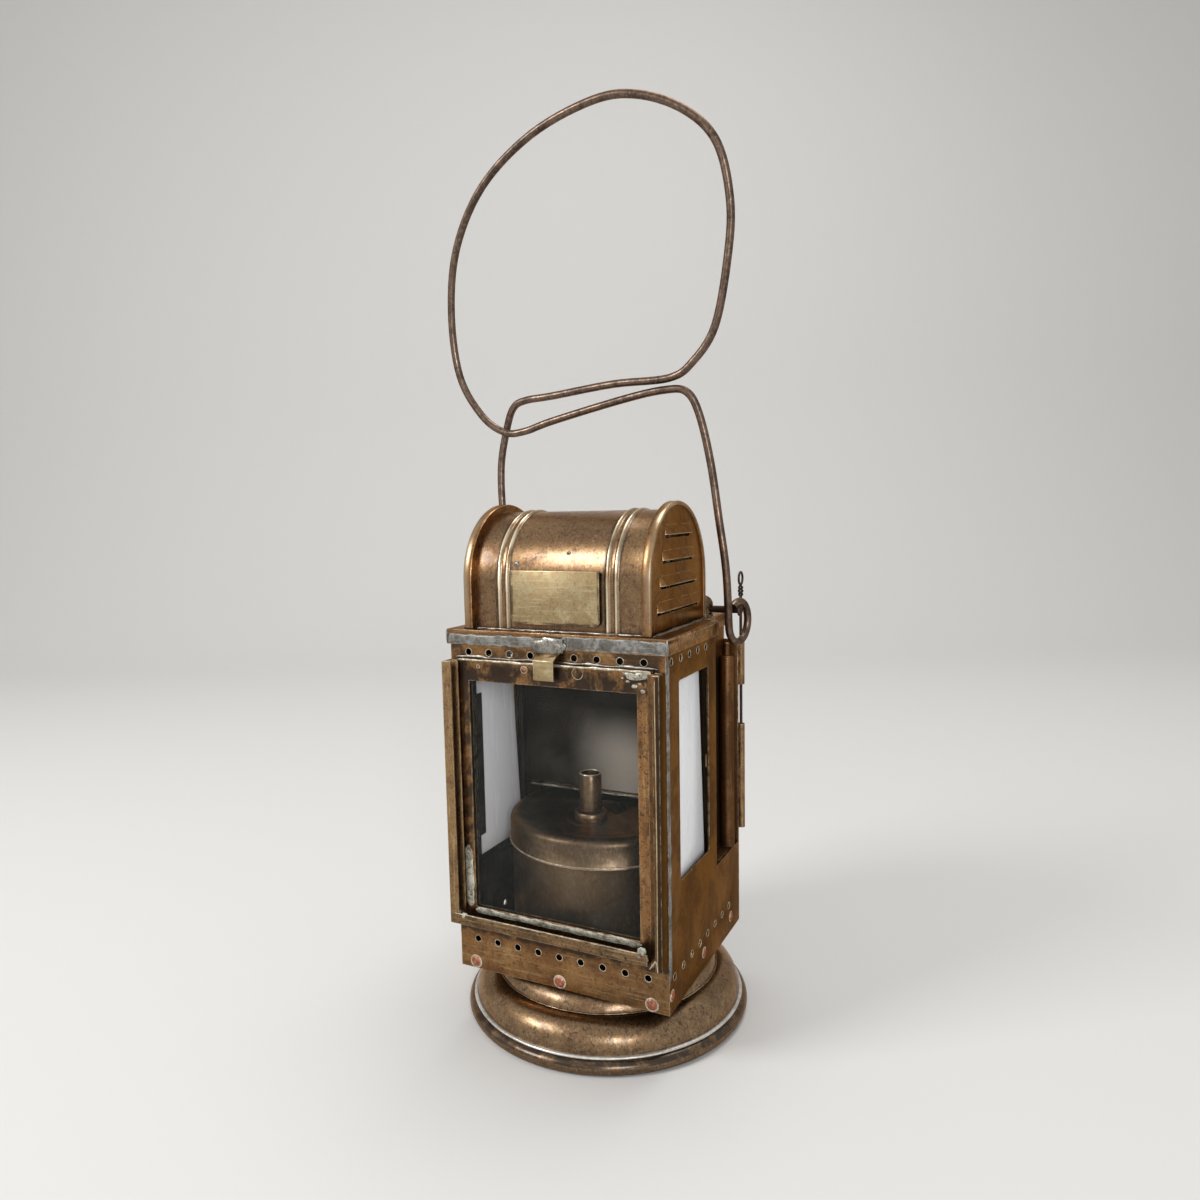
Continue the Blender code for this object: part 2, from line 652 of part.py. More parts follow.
def pane_span():
    """The opal pane's front and rear edges."""
    return WINDOW_Y - PANE_FRONT_MARGIN, WINDOW_Y + WINDOW_WIDTH + PANE_MARGIN


def make_pane_rail(side, label):
    """Grooved rail round three sides of the pane, open at the top."""
    front, rear = pane_span()
    thickness = PANE_THICKNESS + 2 * GAP + 2 * RAIL_LIP
    inner, outer = sorted((side * (INNER_RIGHT - thickness), side * INNER_RIGHT))
    rail = box_piece("pane_rail_" + label,
                     (inner, front - GAP - RAIL_STILE, PANE_LOW - GAP - RAIL_STILE),
                     (outer, rear + GAP + RAIL_STILE, RAIL_TOP), BRASS)

    def sight(bm):
        add_box(bm, (inner - OVERRUN, front + RAIL_COVER, PANE_LOW + RAIL_COVER),
                (outer + OVERRUN, rear - RAIL_COVER, RAIL_TOP + OVERRUN))

    def groove(bm):
        add_box(bm, (inner + RAIL_LIP, front - GAP, PANE_LOW - GAP),
                (outer - RAIL_LIP, rear + GAP, RAIL_TOP + OVERRUN))

    combine(rail, cutter("rail_sight_" + label, sight), "DIFFERENCE")
    return combine(rail, cutter("rail_groove_" + label, groove), "DIFFERENCE")


def make_opal_pane(side, label):
    front, rear = pane_span()
    near = INNER_RIGHT - RAIL_LIP - GAP
    inner, outer = sorted((side * (near - PANE_THICKNESS), side * near))
    return box_piece("opal_pane_" + label, (inner, front, PANE_LOW), (outer, rear, PANE_HIGH), OPAL)


# Rear

def add_knuckles(bm, spans):
    for low, high in spans:
        add_rod(bm, (HINGE_X, HINGE_Y, low), (HINGE_X, HINGE_Y, high), KNUCKLE_RADIUS, KNUCKLE_SIDES)


def hinge_bore(name):
    def bore(bm):
        add_rod(bm, (HINGE_X, HINGE_Y, CASE_BOTTOM), (HINGE_X, HINGE_Y, CASE_TOP), KNUCKLE_BORE,
                KNUCKLE_SIDES)
    return cutter(name, bore)


def make_rear_frame():
    """Rear sheet with the door opening, and the two fixed knuckles on its right edge."""
    frame = box_piece("rear_frame", (-RIGHT, REAR - SHEET, CASE_BOTTOM), (RIGHT, REAR, CASE_TOP), BRASS)
    low1, high1, low3, high3 = KNUCKLE_EDGES[1], KNUCKLE_EDGES[2], KNUCKLE_EDGES[4], KNUCKLE_EDGES[5]
    spans = ((low1, high1), (low3, high3))

    def opening(bm):
        add_box(bm, (-RIGHT + REAR_POST, REAR - SHEET - OVERRUN, CASE_BOTTOM + REAR_SILL),
                (RIGHT - REAR_POST, REAR + OVERRUN, CASE_TOP - REAR_HEAD))
        for side in (-1, 1):
            near, far = sorted((side * RECESS_X, side * (RIGHT + OVERRUN)))
            add_box(bm, (near, REAR - SHEET - OVERRUN, REAR_WING_TOP),
                    (far, REAR + OVERRUN, CASE_TOP + OVERRUN))

    def webs(bm):
        for low, high in spans:
            add_box(bm, (RIGHT - KNUCKLE_RADIUS / 2, REAR - SHEET / 2, low), (HINGE_X, HINGE_Y, high))

    combine(frame, cutter("rear_opening", opening), "DIFFERENCE")
    combine(frame, cutter("frame_webs", webs), "UNION")
    combine(frame, cutter("frame_knuckles", lambda bm: add_knuckles(bm, spans)), "UNION")
    return combine(frame, hinge_bore("frame_bore"), "DIFFERENCE")


def make_rear_door():
    """Door leaf with a raised field, a closing lip on its free edge and two knuckles on the other."""
    edge = HINGE_X - KNUCKLE_RADIUS - KNUCKLE_GAP - GAP
    left = -RIGHT - GAP - SHEET
    door = box_piece("rear_door", (left, DOOR_Y, DOOR_LOW), (edge, DOOR_Y + SHEET, DOOR_HIGH), BRASS)
    spans = ((KNUCKLE_EDGES[0], KNUCKLE_EDGES[1] - KNUCKLE_GAP),
             (KNUCKLE_EDGES[2] + KNUCKLE_GAP, KNUCKLE_EDGES[3]))

    def lip(bm):
        add_box(bm, (left, REAR - DOOR_LIP_DEPTH, DOOR_LOW + KNUCKLE_RADIUS),
                (left + SHEET, DOOR_Y + SHEET / 2, DOOR_HIGH - KNUCKLE_RADIUS))

    def field(bm):
        margin = DOOR_FIELD_MARGIN
        base = DOOR_Y + SHEET / 2
        low = (left + margin, DOOR_LOW + margin)
        high = (edge - margin, DOOR_HIGH - margin)
        slope = DOOR_FIELD_RISE * 2
        outer = [bm.verts.new((x, base, z)) for x, z in rounded_rectangle(low, high, margin / 2)]
        upper_low = (low[0] + slope, low[1] + slope)
        upper_high = (high[0] - slope, high[1] - slope)
        rise = DOOR_Y + SHEET + DOOR_FIELD_RISE
        upper = [bm.verts.new((x, rise, z))
                 for x, z in rounded_rectangle(upper_low, upper_high, margin / 2 - slope / 2)]
        bm.faces.new(outer)
        bm.faces.new(upper[::-1])
        count = len(outer)
        for k in range(count):
            n = (k + 1) % count
            bm.faces.new((outer[k], outer[n], upper[n], upper[k]))

    def leaves(bm):
        for low, high in spans:
            add_box(bm, (edge - SHEET, DOOR_Y, low), (HINGE_X, DOOR_Y + SHEET, high))

    combine(door, cutter("door_lip", lip), "UNION")
    combine(door, cutter("door_field", field), "UNION")
    combine(door, cutter("door_leaves", leaves), "UNION")
    combine(door, cutter("door_knuckles", lambda bm: add_knuckles(bm, spans)), "UNION")
    return combine(door, hinge_bore("door_bore"), "DIFFERENCE")


def make_hinge_pin():
    """Doubled wire through the knuckles, twisted once under a finger ring."""
    points = [Vector((0, -PIN_SPREAD, PIN_LOW)), Vector((0, -PIN_SPREAD, PIN_TWIST_LOW - PIN_WIRE))]
    steps = 12
    first = []
    second = []
    for step in range(steps + 1):
        share = step / steps
        turn = math.tau * share * PIN_TWIST_TURNS
        out = PIN_SPREAD + (PIN_TWIST_OUT - PIN_SPREAD) * math.sin(math.pi * share)
        z = PIN_TWIST_LOW + (PIN_TWIST_HIGH - PIN_TWIST_LOW) * share
        first.append(Vector((-out * math.sin(turn), -out * math.cos(turn), z)))
        second.append(Vector((out * math.sin(turn), out * math.cos(turn), z)))
    points += first
    opening = math.asin(PIN_RING_MOUTH / PIN_RING_RADIUS)
    centre = PIN_TWIST_HIGH + PIN_RING_RADIUS * math.cos(opening) + PIN_WIRE
    ring_steps = 18
    for step in range(ring_steps + 1):
        swing = opening + (math.tau - 2 * opening) * step / ring_steps
        points.append(Vector((0, PIN_RING_RADIUS * math.sin(swing),
                              centre - PIN_RING_RADIUS * math.cos(swing))))
    points += second[::-1]
    points += [Vector((0, PIN_SPREAD, PIN_TWIST_LOW - PIN_WIRE)), Vector((0, PIN_SPREAD, PIN_LOW))]
    shift = Vector((HINGE_X, HINGE_Y, 0))
    return wire_piece("hinge_pin", [point + shift for point in points], PIN_WIRE, IRON_WIRE, 1)


def make_column(side, label):
    """Upright rod with a rounded top and a short stub, in the corner of the recess."""
    low = SHELF_Z + GAP
    stub = COLUMN_TOP + COLUMN_STUB_HEIGHT
    x = side * (RECESS_X + GAP + COLUMN_RADIUS)
    profile = [(0, stub), (COLUMN_STUB_RADIUS, stub), (COLUMN_STUB_RADIUS, COLUMN_TOP),
               (COLUMN_RADIUS - COLUMN_EDGE, COLUMN_TOP), (COLUMN_RADIUS, COLUMN_TOP - COLUMN_EDGE),
               (COLUMN_RADIUS, low), (0, low)]
    return turned_piece("rear_column_" + label, profile, (x, COLUMN_Y), COLUMN_SEGMENTS, BRASS)


# Cover and roof

def cover_outline(inset):
    """The cover from above: full width over the chamber, then narrower over the rear."""
    wide = RIGHT + COVER_OUT - inset
    front = FRONT - COVER_OUT + inset
    rear = REAR + COVER_OUT - inset
    narrow = RECESS_X + COVER_OUT - inset
    wing = PARTITION_Y + COVER_OUT - inset
    corner = COVER_CORNER
    half = [(wide, front), (wide, wing - corner), (wide - corner, wing), (narrow, wing), (narrow, rear)]
    return half + [(-x, y) for x, y in half[::-1]]


def make_top_cover():
    """Sheet cover with a turned-down lip, and the smoke vent under the roof."""
    cover = prism_piece("top_cover", cover_outline(0), COVER_TOP - COVER_LIP, COVER_TOP, "Z", SOLDERED)

    def hollow(bm):
        add_prism(bm, cover_outline(SHEET), COVER_TOP - COVER_LIP - OVERRUN, COVER_BOTTOM, "Z")

    def vent(bm):
        add_box(bm, (-VENT_HALF_X, ROOF_Y - VENT_HALF_Y, COVER_BOTTOM - OVERRUN),
                (VENT_HALF_X, ROOF_Y + VENT_HALF_Y, COVER_TOP + OVERRUN))

    combine(cover, cutter("cover_hollow", hollow), "DIFFERENCE")
    return combine(cover, cutter("cover_vent", vent), "DIFFERENCE")


def roof_stations():
    """Places along the barrel with the height of the pressed ribs there."""
    end = CAP_FACE_X - CAP_DEPTH + SHEET / 2
    stations = [(-end, 0)]
    for centre in RIB_CENTRES:
        for share in (-1, -0.5, 0, 0.5, 1):
            stations.append((centre + share * RIB_HALF, RIB_RISE * math.cos(share * math.pi / 2)))
    stations.append((end, 0))
    return stations


def make_roof_barrel():
    """Arched sheet lofted along the lamp's width, with two pairs of pressed ribs."""
    bm = bmesh.new()
    rings = []
    for x, rise in roof_stations():
        outer = arch_outline(ROOF_RADIUS + rise, ROOF_BOTTOM, ROOF_STEPS)
        inner = arch_outline(ROOF_RADIUS + rise - SHEET, ROOF_BOTTOM, ROOF_STEPS)
        rings.append([bm.verts.new((x, y, z)) for y, z in outer + inner[::-1]])
    count = len(rings[0])
    for ring, following in zip(rings, rings[1:]):
        for k in range(count):
            n = (k + 1) % count
            bm.faces.new((ring[k], ring[n], following[n], following[k]))
    for ring in (rings[0], rings[-1]):
        half = count // 2
        for k in range(half - 1):
            bm.faces.new((ring[k], ring[k + 1], ring[count - 2 - k], ring[count - 1 - k]))
    return finish_mesh("roof_barrel", bm, BRASS)


def louvre_outline(top, grow):
    """Section of one louvre hood above the cap's face, as (x, z), grown outwards by a sheet."""
    face = CAP_FACE_X - SHEET / 2
    low = top - LOUVRE_HEIGHT
    return [(face, top + grow), (CAP_FACE_X + LOUVRE_RISE + grow, low), (face, low)]


def make_end_cap(side, label):
    """Pan-shaped cap with a rim round the barrel and four pressed louvres that open downwards."""
    face_in = CAP_FACE_X - SHEET
    back = CAP_FACE_X - CAP_DEPTH
    inner, outer = sorted((side * back, side * CAP_FACE_X))
    cap = prism_piece("end_cap_" + label, arch_outline(CAP_RADIUS, ROOF_BOTTOM, CAP_STEPS), inner, outer,
                      "X", BRASS)

    def cavity(bm):
        ends = sorted((side * (back + SHEET), side * face_in))
        add_prism(bm, arch_outline(CAP_RADIUS - SHEET, ROOF_BOTTOM - OVERRUN, CAP_STEPS), *ends, "X")

    def mouth(bm):
        ends = sorted((side * (back - OVERRUN), side * (back + SHEET + GAP)))
        add_prism(bm, arch_outline(ROOF_RADIUS + GAP, ROOF_BOTTOM - OVERRUN, ROOF_STEPS), *ends, "X")

    def louvre_tops():
        first = ROOF_SPRING + CAP_RADIUS - LOUVRE_FIRST_DROP + LOUVRE_HEIGHT
        for place in range(LOUVRES):
            yield first - place * LOUVRE_PITCH, LOUVRE_FIRST_HALF + place * LOUVRE_GROWTH

    def hoods(bm):
        for top, half in louvre_tops():
            outline = [(side * x, z) for x, z in louvre_outline(top, LOUVRE_SHEET)]
            add_prism(bm, outline, ROOF_Y - half, ROOF_Y + half, "Y")

    def slots(bm):
        for top, half in louvre_tops():
            low = top - LOUVRE_HEIGHT
            crest = top - LOUVRE_HEIGHT / 2
            outline = [(face_in - OVERRUN / 2, crest), (CAP_FACE_X, crest),
                       (CAP_FACE_X + LOUVRE_RISE, low), (CAP_FACE_X + LOUVRE_RISE, low - OVERRUN),
                       (CAP_FACE_X, low - OVERRUN), (CAP_FACE_X, low + LOUVRE_SLOT),
                       (face_in - OVERRUN / 2, low + LOUVRE_SLOT)]
            outline = [(side * x, z) for x, z in outline]
            add_prism(bm, outline, ROOF_Y - half + LOUVRE_SHEET, ROOF_Y + half - LOUVRE_SHEET, "Y")

    combine(cap, cutter("cap_hoods_" + label, hoods), "UNION")
    combine(cap, cutter("cap_cavity_" + label, cavity), "DIFFERENCE")
    combine(cap, cutter("cap_mouth_" + label, mouth), "DIFFERENCE")
    return combine(cap, cutter("cap_slots_" + label, slots), "DIFFERENCE")


def make_name_plate():
    """Bare plate with rounded lower corners, flat against the roof's front wall."""
    high = PLATE_LOW + PLATE_HEIGHT
    left, right = PLATE_X - PLATE_HALF, PLATE_X + PLATE_HALF
    outline = [(right, high), (left, high)]
    for quarter, cx in ((2, left + PLATE_CORNER), (3, right - PLATE_CORNER)):
        for step in range(PLATE_CORNER_STEPS + 1):
            angle = (quarter + step / PLATE_CORNER_STEPS) * math.pi / 2
            outline.append((cx + PLATE_CORNER * math.cos(angle),
                            PLATE_LOW + PLATE_CORNER + PLATE_CORNER * math.sin(angle)))
    back = ROOF_Y - ROOF_RADIUS - GAP
    return prism_piece("name_plate", outline, back - PLATE_THICKNESS, back, "Y", PLATE_BRASS)


# Oil tank and burner

def make_oil_tank():
    """Drawn cup that holds the oil."""
    profile = [(0, TANK_BOTTOM), (TANK_RADIUS - TANK_CORNER, TANK_BOTTOM),
               (TANK_RADIUS, TANK_BOTTOM + TANK_CORNER), (TANK_RADIUS, TANK_TOP),
               (TANK_RADIUS - TANK_SHEET, TANK_TOP),
               (TANK_RADIUS - TANK_SHEET, TANK_BOTTOM + TANK_CORNER),
               (TANK_RADIUS - TANK_CORNER, TANK_BOTTOM + TANK_SHEET), (0, TANK_BOTTOM + TANK_SHEET)]
    return turned_piece("oil_tank", profile, (0, 0), TANK_SEGMENTS, DARK_BRASS)


def make_tank_lid():
    """Lid with a rounded shoulder and a shallow dished top, holed for the burner."""
    top = LID_TOP
    outer = [(0, top - LID_DISH), (LID_RADIUS - 2 * LID_ROUND, top - LID_DISH),
             (LID_RADIUS - LID_ROUND, top)]
    inner = [(0, top - LID_DISH - TANK_SHEET), (LID_RADIUS - 2 * LID_ROUND, top - LID_DISH - TANK_SHEET),
             (LID_RADIUS - LID_ROUND, top - TANK_SHEET)]
    steps = 4
    for step in range(1, steps + 1):
        swing = math.pi / 2 * step / steps
        drop = LID_ROUND * (1 - math.cos(swing))
        out = LID_RADIUS - LID_ROUND + LID_ROUND * math.sin(swing)
        outer.append((out, top - drop))
        inner.append((LID_RADIUS - LID_ROUND + (LID_ROUND - TANK_SHEET) * math.sin(swing),
                      top - TANK_SHEET - (LID_ROUND - TANK_SHEET) * (1 - math.cos(swing))))
    rim = [(LID_RADIUS, LID_BOTTOM), (LID_RADIUS - TANK_SHEET, LID_BOTTOM)]
    lid = turned_piece("tank_lid", outer + rim + inner[::-1], (0, 0), TANK_SEGMENTS, DARK_BRASS)

    def hole(bm):
        add_rod(bm, (0, BURNER_Y, LID_BOTTOM), (0, BURNER_Y, LID_TOP + OVERRUN), BUSH_RADIUS + GAP,
                BURNER_SEGMENTS)

    return combine(lid, cutter("burner_hole", hole), "DIFFERENCE")


def make_burner_bush():
    """Flat ring let into the lid, which takes the burner."""
    high = LID_TOP - LID_DISH
    low = high - 2 * TANK_SHEET
    profile = [(BUSH_BORE, high), (BUSH_RADIUS, high), (BUSH_RADIUS, low), (BUSH_BORE, low)]
    turned_piece("burner_bush", profile, (0, BURNER_Y), BURNER_SEGMENTS, DARK_BRASS)


def make_burner():
    """Flanged collar in the lid, the wick tube that rises from it, and the wick."""
    seat = LID_TOP - LID_DISH + GAP
    collar_top = seat + COLLAR_HEIGHT
    bore = WICK_RADIUS + GAP
    spigot = BUSH_BORE - GAP
    profile = [(bore, collar_top), (TUBE_RADIUS + GAP, collar_top), (COLLAR_RADIUS - GAP, collar_top - GAP),
               (COLLAR_RADIUS, seat + COLLAR_HEIGHT / 3), (COLLAR_RADIUS, seat), (spigot, seat),
               (spigot, seat - 2 * TANK_SHEET), (bore, seat - 2 * TANK_SHEET)]
    turned_piece("burner_collar", profile, (0, BURNER_Y), BURNER_SEGMENTS, DARK_BRASS)
    low = collar_top + GAP
    high = low + TUBE_HEIGHT
    tube = [(TUBE_RADIUS - TUBE_WALL, high), (TUBE_RADIUS, high), (TUBE_RADIUS, low),
            (TUBE_RADIUS - TUBE_WALL, low)]
    turned_piece("wick_tube", tube, (0, BURNER_Y), BURNER_SEGMENTS, DARK_BRASS)
    bm = bmesh.new()
    add_rod(bm, (0, BURNER_Y, WICK_LOW), (0, BURNER_Y, high + WICK_PROUD), WICK_RADIUS, WICK_SIDES)
    finish_mesh("wick", bm, COTTON)


# Rod, bosses and bail

def make_boss(side, label):
    """Domed boss on the cover that holds the bail's rod."""
    top = BOSS_DOME_Z + BOSS_RADIUS
    low = COVER_TOP + GAP
    profile = [(0, top)]
    steps = 5
    for step in range(1, steps + 1):
        swing = math.pi / 2 * step / steps
        profile.append((BOSS_RADIUS * math.sin(swing), BOSS_DOME_Z + BOSS_RADIUS * math.cos(swing)))
    profile += [(BOSS_NECK_RADIUS, BOSS_DOME_Z), (BOSS_NECK_RADIUS, low + BOSS_WAIST),
                (BOSS_RADIUS, low + BOSS_FLANGE_HEIGHT), (BOSS_RADIUS, low), (0, low)]
    boss = turned_piece("pivot_boss_" + label, profile, (side * BOSS_X, PIVOT_Y), BOSS_SEGMENTS,
                        DARK_BRASS)

    def hole(bm):
        reach = BOSS_RADIUS + OVERRUN
        ends = sorted((side * (BOSS_X - reach), side * (BOSS_X + reach)))
        add_rod(bm, (ends[0], PIVOT_Y, ROD_Z), (ends[1], PIVOT_Y, ROD_Z), ROD_RADIUS + GAP,
                ROD_SIDES)

    return combine(boss, cutter("boss_hole_" + label, hole), "DIFFERENCE")


def make_bail_rod():
    """Plain rod behind the roof, with a riveted head at each end."""
    bm = bmesh.new()
    tip = ROD_END + ROD_HEAD_LENGTH
    profile = [(0, -tip), (ROD_HEAD_RADIUS / 2, -tip), (ROD_HEAD_RADIUS, -tip + ROD_HEAD_LENGTH / 2),
               (ROD_HEAD_RADIUS, -ROD_END), (ROD_RADIUS, -ROD_END), (ROD_RADIUS, ROD_END),
               (ROD_HEAD_RADIUS, ROD_END), (ROD_HEAD_RADIUS, tip - ROD_HEAD_LENGTH / 2),
               (ROD_HEAD_RADIUS / 2, tip), (0, tip)]
    verts = [bm.verts.new((x, 0, r)) for r, x in profile]
    edges = [bm.edges.new(pair) for pair in zip(verts, verts[1:])]
    bmesh.ops.spin(bm, geom=verts + edges, cent=(0, 0, 0), axis=(1, 0, 0), dvec=(0, 0, 0),
                   angle=math.tau, steps=ROD_SIDES, use_merge=True)
    bmesh.ops.remove_doubles(bm, verts=bm.verts, dist=MERGE_REACH)
    bmesh.ops.translate(bm, verts=bm.verts, vec=(0, PIVOT_Y, ROD_Z))
    return finish_mesh("bail_rod", bm, DARK_BRASS)


def eye_drop():
    """How far the eye's middle hangs below the rod it rests on."""
    return EYE_RADIUS - BAIL_WIRE - ROD_RADIUS - GAP


def eye_points(x, rising):
    """Open wire eye round the rod: from the leg's foot at the front, under the rod, and over it."""
    points = []
    for step in range(EYE_STEPS + 1):
        swing = EYE_START + (EYE_END - EYE_START) * step / EYE_STEPS
        points.append(Vector((x, -EYE_RADIUS * math.sin(swing), EYE_RADIUS * math.cos(swing) - eye_drop())))
    return points[::-1] if rising else points


def make_bail():
    """One wire: an eye, the left leg, the upper run, the hand loop, the lower run, the right leg, an eye."""
    run = [Vector((x * BAIL_HALF, depth * 2 * BAIL_WIRE, up * BAIL_REACH)) for x, up, depth in BAIL_SHARES]
    foot = Vector((0, -EYE_RADIUS, -eye_drop()))
    middle = smooth_run([foot - Vector((EYE_X, 0, 0))] + run + [foot + Vector((EYE_X, 0, 0))], BAIL_STEPS)
    points = eye_points(-EYE_X, True) + middle[1:-1] + eye_points(EYE_X, False)
    place = Matrix.Translation((0, PIVOT_Y, ROD_Z)) @ Matrix.Rotation(BAIL_TILT, 4, "X")
    return wire_piece("bail", [place @ point for point in points], BAIL_WIRE, IRON_WIRE, 2)


def build():
    clear_scene()
    make_base_foot()
    make_neck_ring()
    make_case_floor()
    make_front_panel()
    make_partition()
    make_front_frame()
    make_front_glass()
    make_sill()
    make_catch()
    for side, label in ((1, "right"), (-1, "left")):
        make_side_panel(side, label)
        make_recess_wall(side, label)
        make_guide(side, label)
        make_pane_rail(side, label)
        make_opal_pane(side, label)
        make_column(side, label)
        make_end_cap(side, label)
        make_boss(side, label)
    make_rear_frame()
    make_rear_door()
    make_hinge_pin()
    make_top_cover()
    make_roof_barrel()
    make_name_plate()
    make_oil_tank()
    make_tank_lid()
    make_burner_bush()
    make_burner()
    make_bail_rod()
    make_bail()


build()
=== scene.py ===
import math

import bmesh
import bpy
from mathutils import Matrix, Vector, noise


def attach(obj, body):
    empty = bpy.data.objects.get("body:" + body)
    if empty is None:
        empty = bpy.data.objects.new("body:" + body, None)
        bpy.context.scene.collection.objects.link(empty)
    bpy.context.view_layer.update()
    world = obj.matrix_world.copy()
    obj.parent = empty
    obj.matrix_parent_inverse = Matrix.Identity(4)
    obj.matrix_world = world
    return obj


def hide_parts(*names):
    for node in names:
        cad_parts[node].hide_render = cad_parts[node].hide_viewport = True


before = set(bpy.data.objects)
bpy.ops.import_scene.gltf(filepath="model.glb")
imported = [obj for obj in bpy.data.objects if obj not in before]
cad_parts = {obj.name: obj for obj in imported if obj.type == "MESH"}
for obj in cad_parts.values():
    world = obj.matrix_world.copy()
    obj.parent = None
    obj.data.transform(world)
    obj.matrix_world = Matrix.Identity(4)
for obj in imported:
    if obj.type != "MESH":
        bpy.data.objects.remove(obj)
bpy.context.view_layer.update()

# Sizes in metres, in the lamp's own frame: +X its right, -Y its lit front, +Z up
SHEET = 0.0009
GAP = 0.0003
RIGHT = 0.050
FRONT = -0.047
REAR = 0.047
CASE_BOTTOM = 0.026
CASE_TOP = 0.1775
PARTITION_Y = 0.013
SHELF_Z = 0.066
RECESS_X = 0.043
COVER_TOP = 0.1787
ROOF_BOTTOM = 0.1790
ROOF_SPRING = 0.1990
ROOF_Y = -0.0130
ROOF_RADIUS = 0.0292
CAP_RADIUS = 0.0327
PIVOT_Y = 0.0244
ROD_Z = 0.1824
LOW_ROW_Z = 0.040
HIGH_ROW_Z = 0.169
HOLE_PITCH = 0.0102
HOLE_RADIUS = 0.00155
HINGE_X = 0.0506
HINGE_Y = 0.04905
BURNER_Y = -0.0140
WIRE = 0.00175
SIDES = ((1, "right"), (-1, "left"))

# Colours
GOLD = (0.60, 0.43, 0.22)
BRASS = (0.27, 0.158, 0.074)
BROWN = (0.150, 0.080, 0.038)
UMBER = (0.040, 0.026, 0.017)
SOLDER = (0.36, 0.36, 0.34)
COPPER = (0.55, 0.20, 0.12)
VERDIGRIS = (0.42, 0.50, 0.42)
CREAM = (0.66, 0.64, 0.54)
# Pale cream for edge wear and for painted highlights.
WEAR_AND_HIGHLIGHT = (0.80, 0.70, 0.50)


# Node groups

class Graph:
    """Short names for adding and joining the nodes of one tree."""

    def __init__(self, tree):
        self.tree = tree

    def add(self, kind, **values):
        node = self.tree.nodes.new("ShaderNode" + kind)
        for key, value in values.items():
            if hasattr(node, key):
                setattr(node, key, value)
        return node

    def join(self, source, target):
        self.tree.links.new(source, target)

    def math(self, operation, first, second=None, clamp=False):
        node = self.add("Math", operation=operation, use_clamp=clamp)
        for slot, value in zip(node.inputs, (first, second)):
            if value is None:
                continue
            if isinstance(value, (int, float)):
                slot.default_value = value
            else:
                self.join(value, slot)
        return node.outputs[0]

    def noise(self, vector, scale, detail=4.0, roughness=0.55, distortion=0.0):
        node = self.add("TexNoise")
        self.join(vector, node.inputs["Vector"])
        for name, value in (("Scale", scale), ("Detail", detail), ("Roughness", roughness),
                            ("Distortion", distortion)):
            if isinstance(value, (int, float)):
                node.inputs[name].default_value = value
            else:
                self.join(value, node.inputs[name])
        return node.outputs["Fac"]

    def ramp(self, value, low, high):
        node = self.add("MapRange", interpolation_type="SMOOTHSTEP")
        self.join(value, node.inputs["Value"])
        for name, edge in (("From Min", low), ("From Max", high)):
            if isinstance(edge, (int, float)):
                node.inputs[name].default_value = edge
            else:
                self.join(edge, node.inputs[name])
        return node.outputs["Result"]

    def mix(self, share, first, second, blend="MIX"):
        node = self.add("Mix", data_type="RGBA", blend_type=blend)
        for slot, value in ((node.inputs[0], share), (node.inputs[6], first), (node.inputs[7], second)):
            if isinstance(value, (int, float)):
                slot.default_value = value
            elif isinstance(value, tuple):
                slot.default_value = (*value, 1)
            else:
                self.join(value, slot)
        return node.outputs[2]

    def stretch(self, vector, scale):
        node = self.add("Mapping")
        self.join(vector, node.inputs["Vector"])
        if isinstance(scale, tuple):
            node.inputs["Scale"].default_value = scale
        else:
            self.join(scale, node.inputs["Scale"])
        return node.outputs["Vector"]


def new_group(name, inputs, outputs):
    tree = bpy.data.node_groups.new(name, "ShaderNodeTree")
    for label, kind, value in inputs:
        socket = tree.interface.new_socket(label, in_out="INPUT", socket_type="NodeSocket" + kind)
        if value is not None:
            socket.default_value = (*value, 1) if kind == "Color" else value
    for label, kind in outputs:
        tree.interface.new_socket(label, in_out="OUTPUT", socket_type="NodeSocket" + kind)
    graph = Graph(tree)
    return tree, graph, (tree.nodes.new("NodeGroupInput"), tree.nodes.new("NodeGroupOutput"))


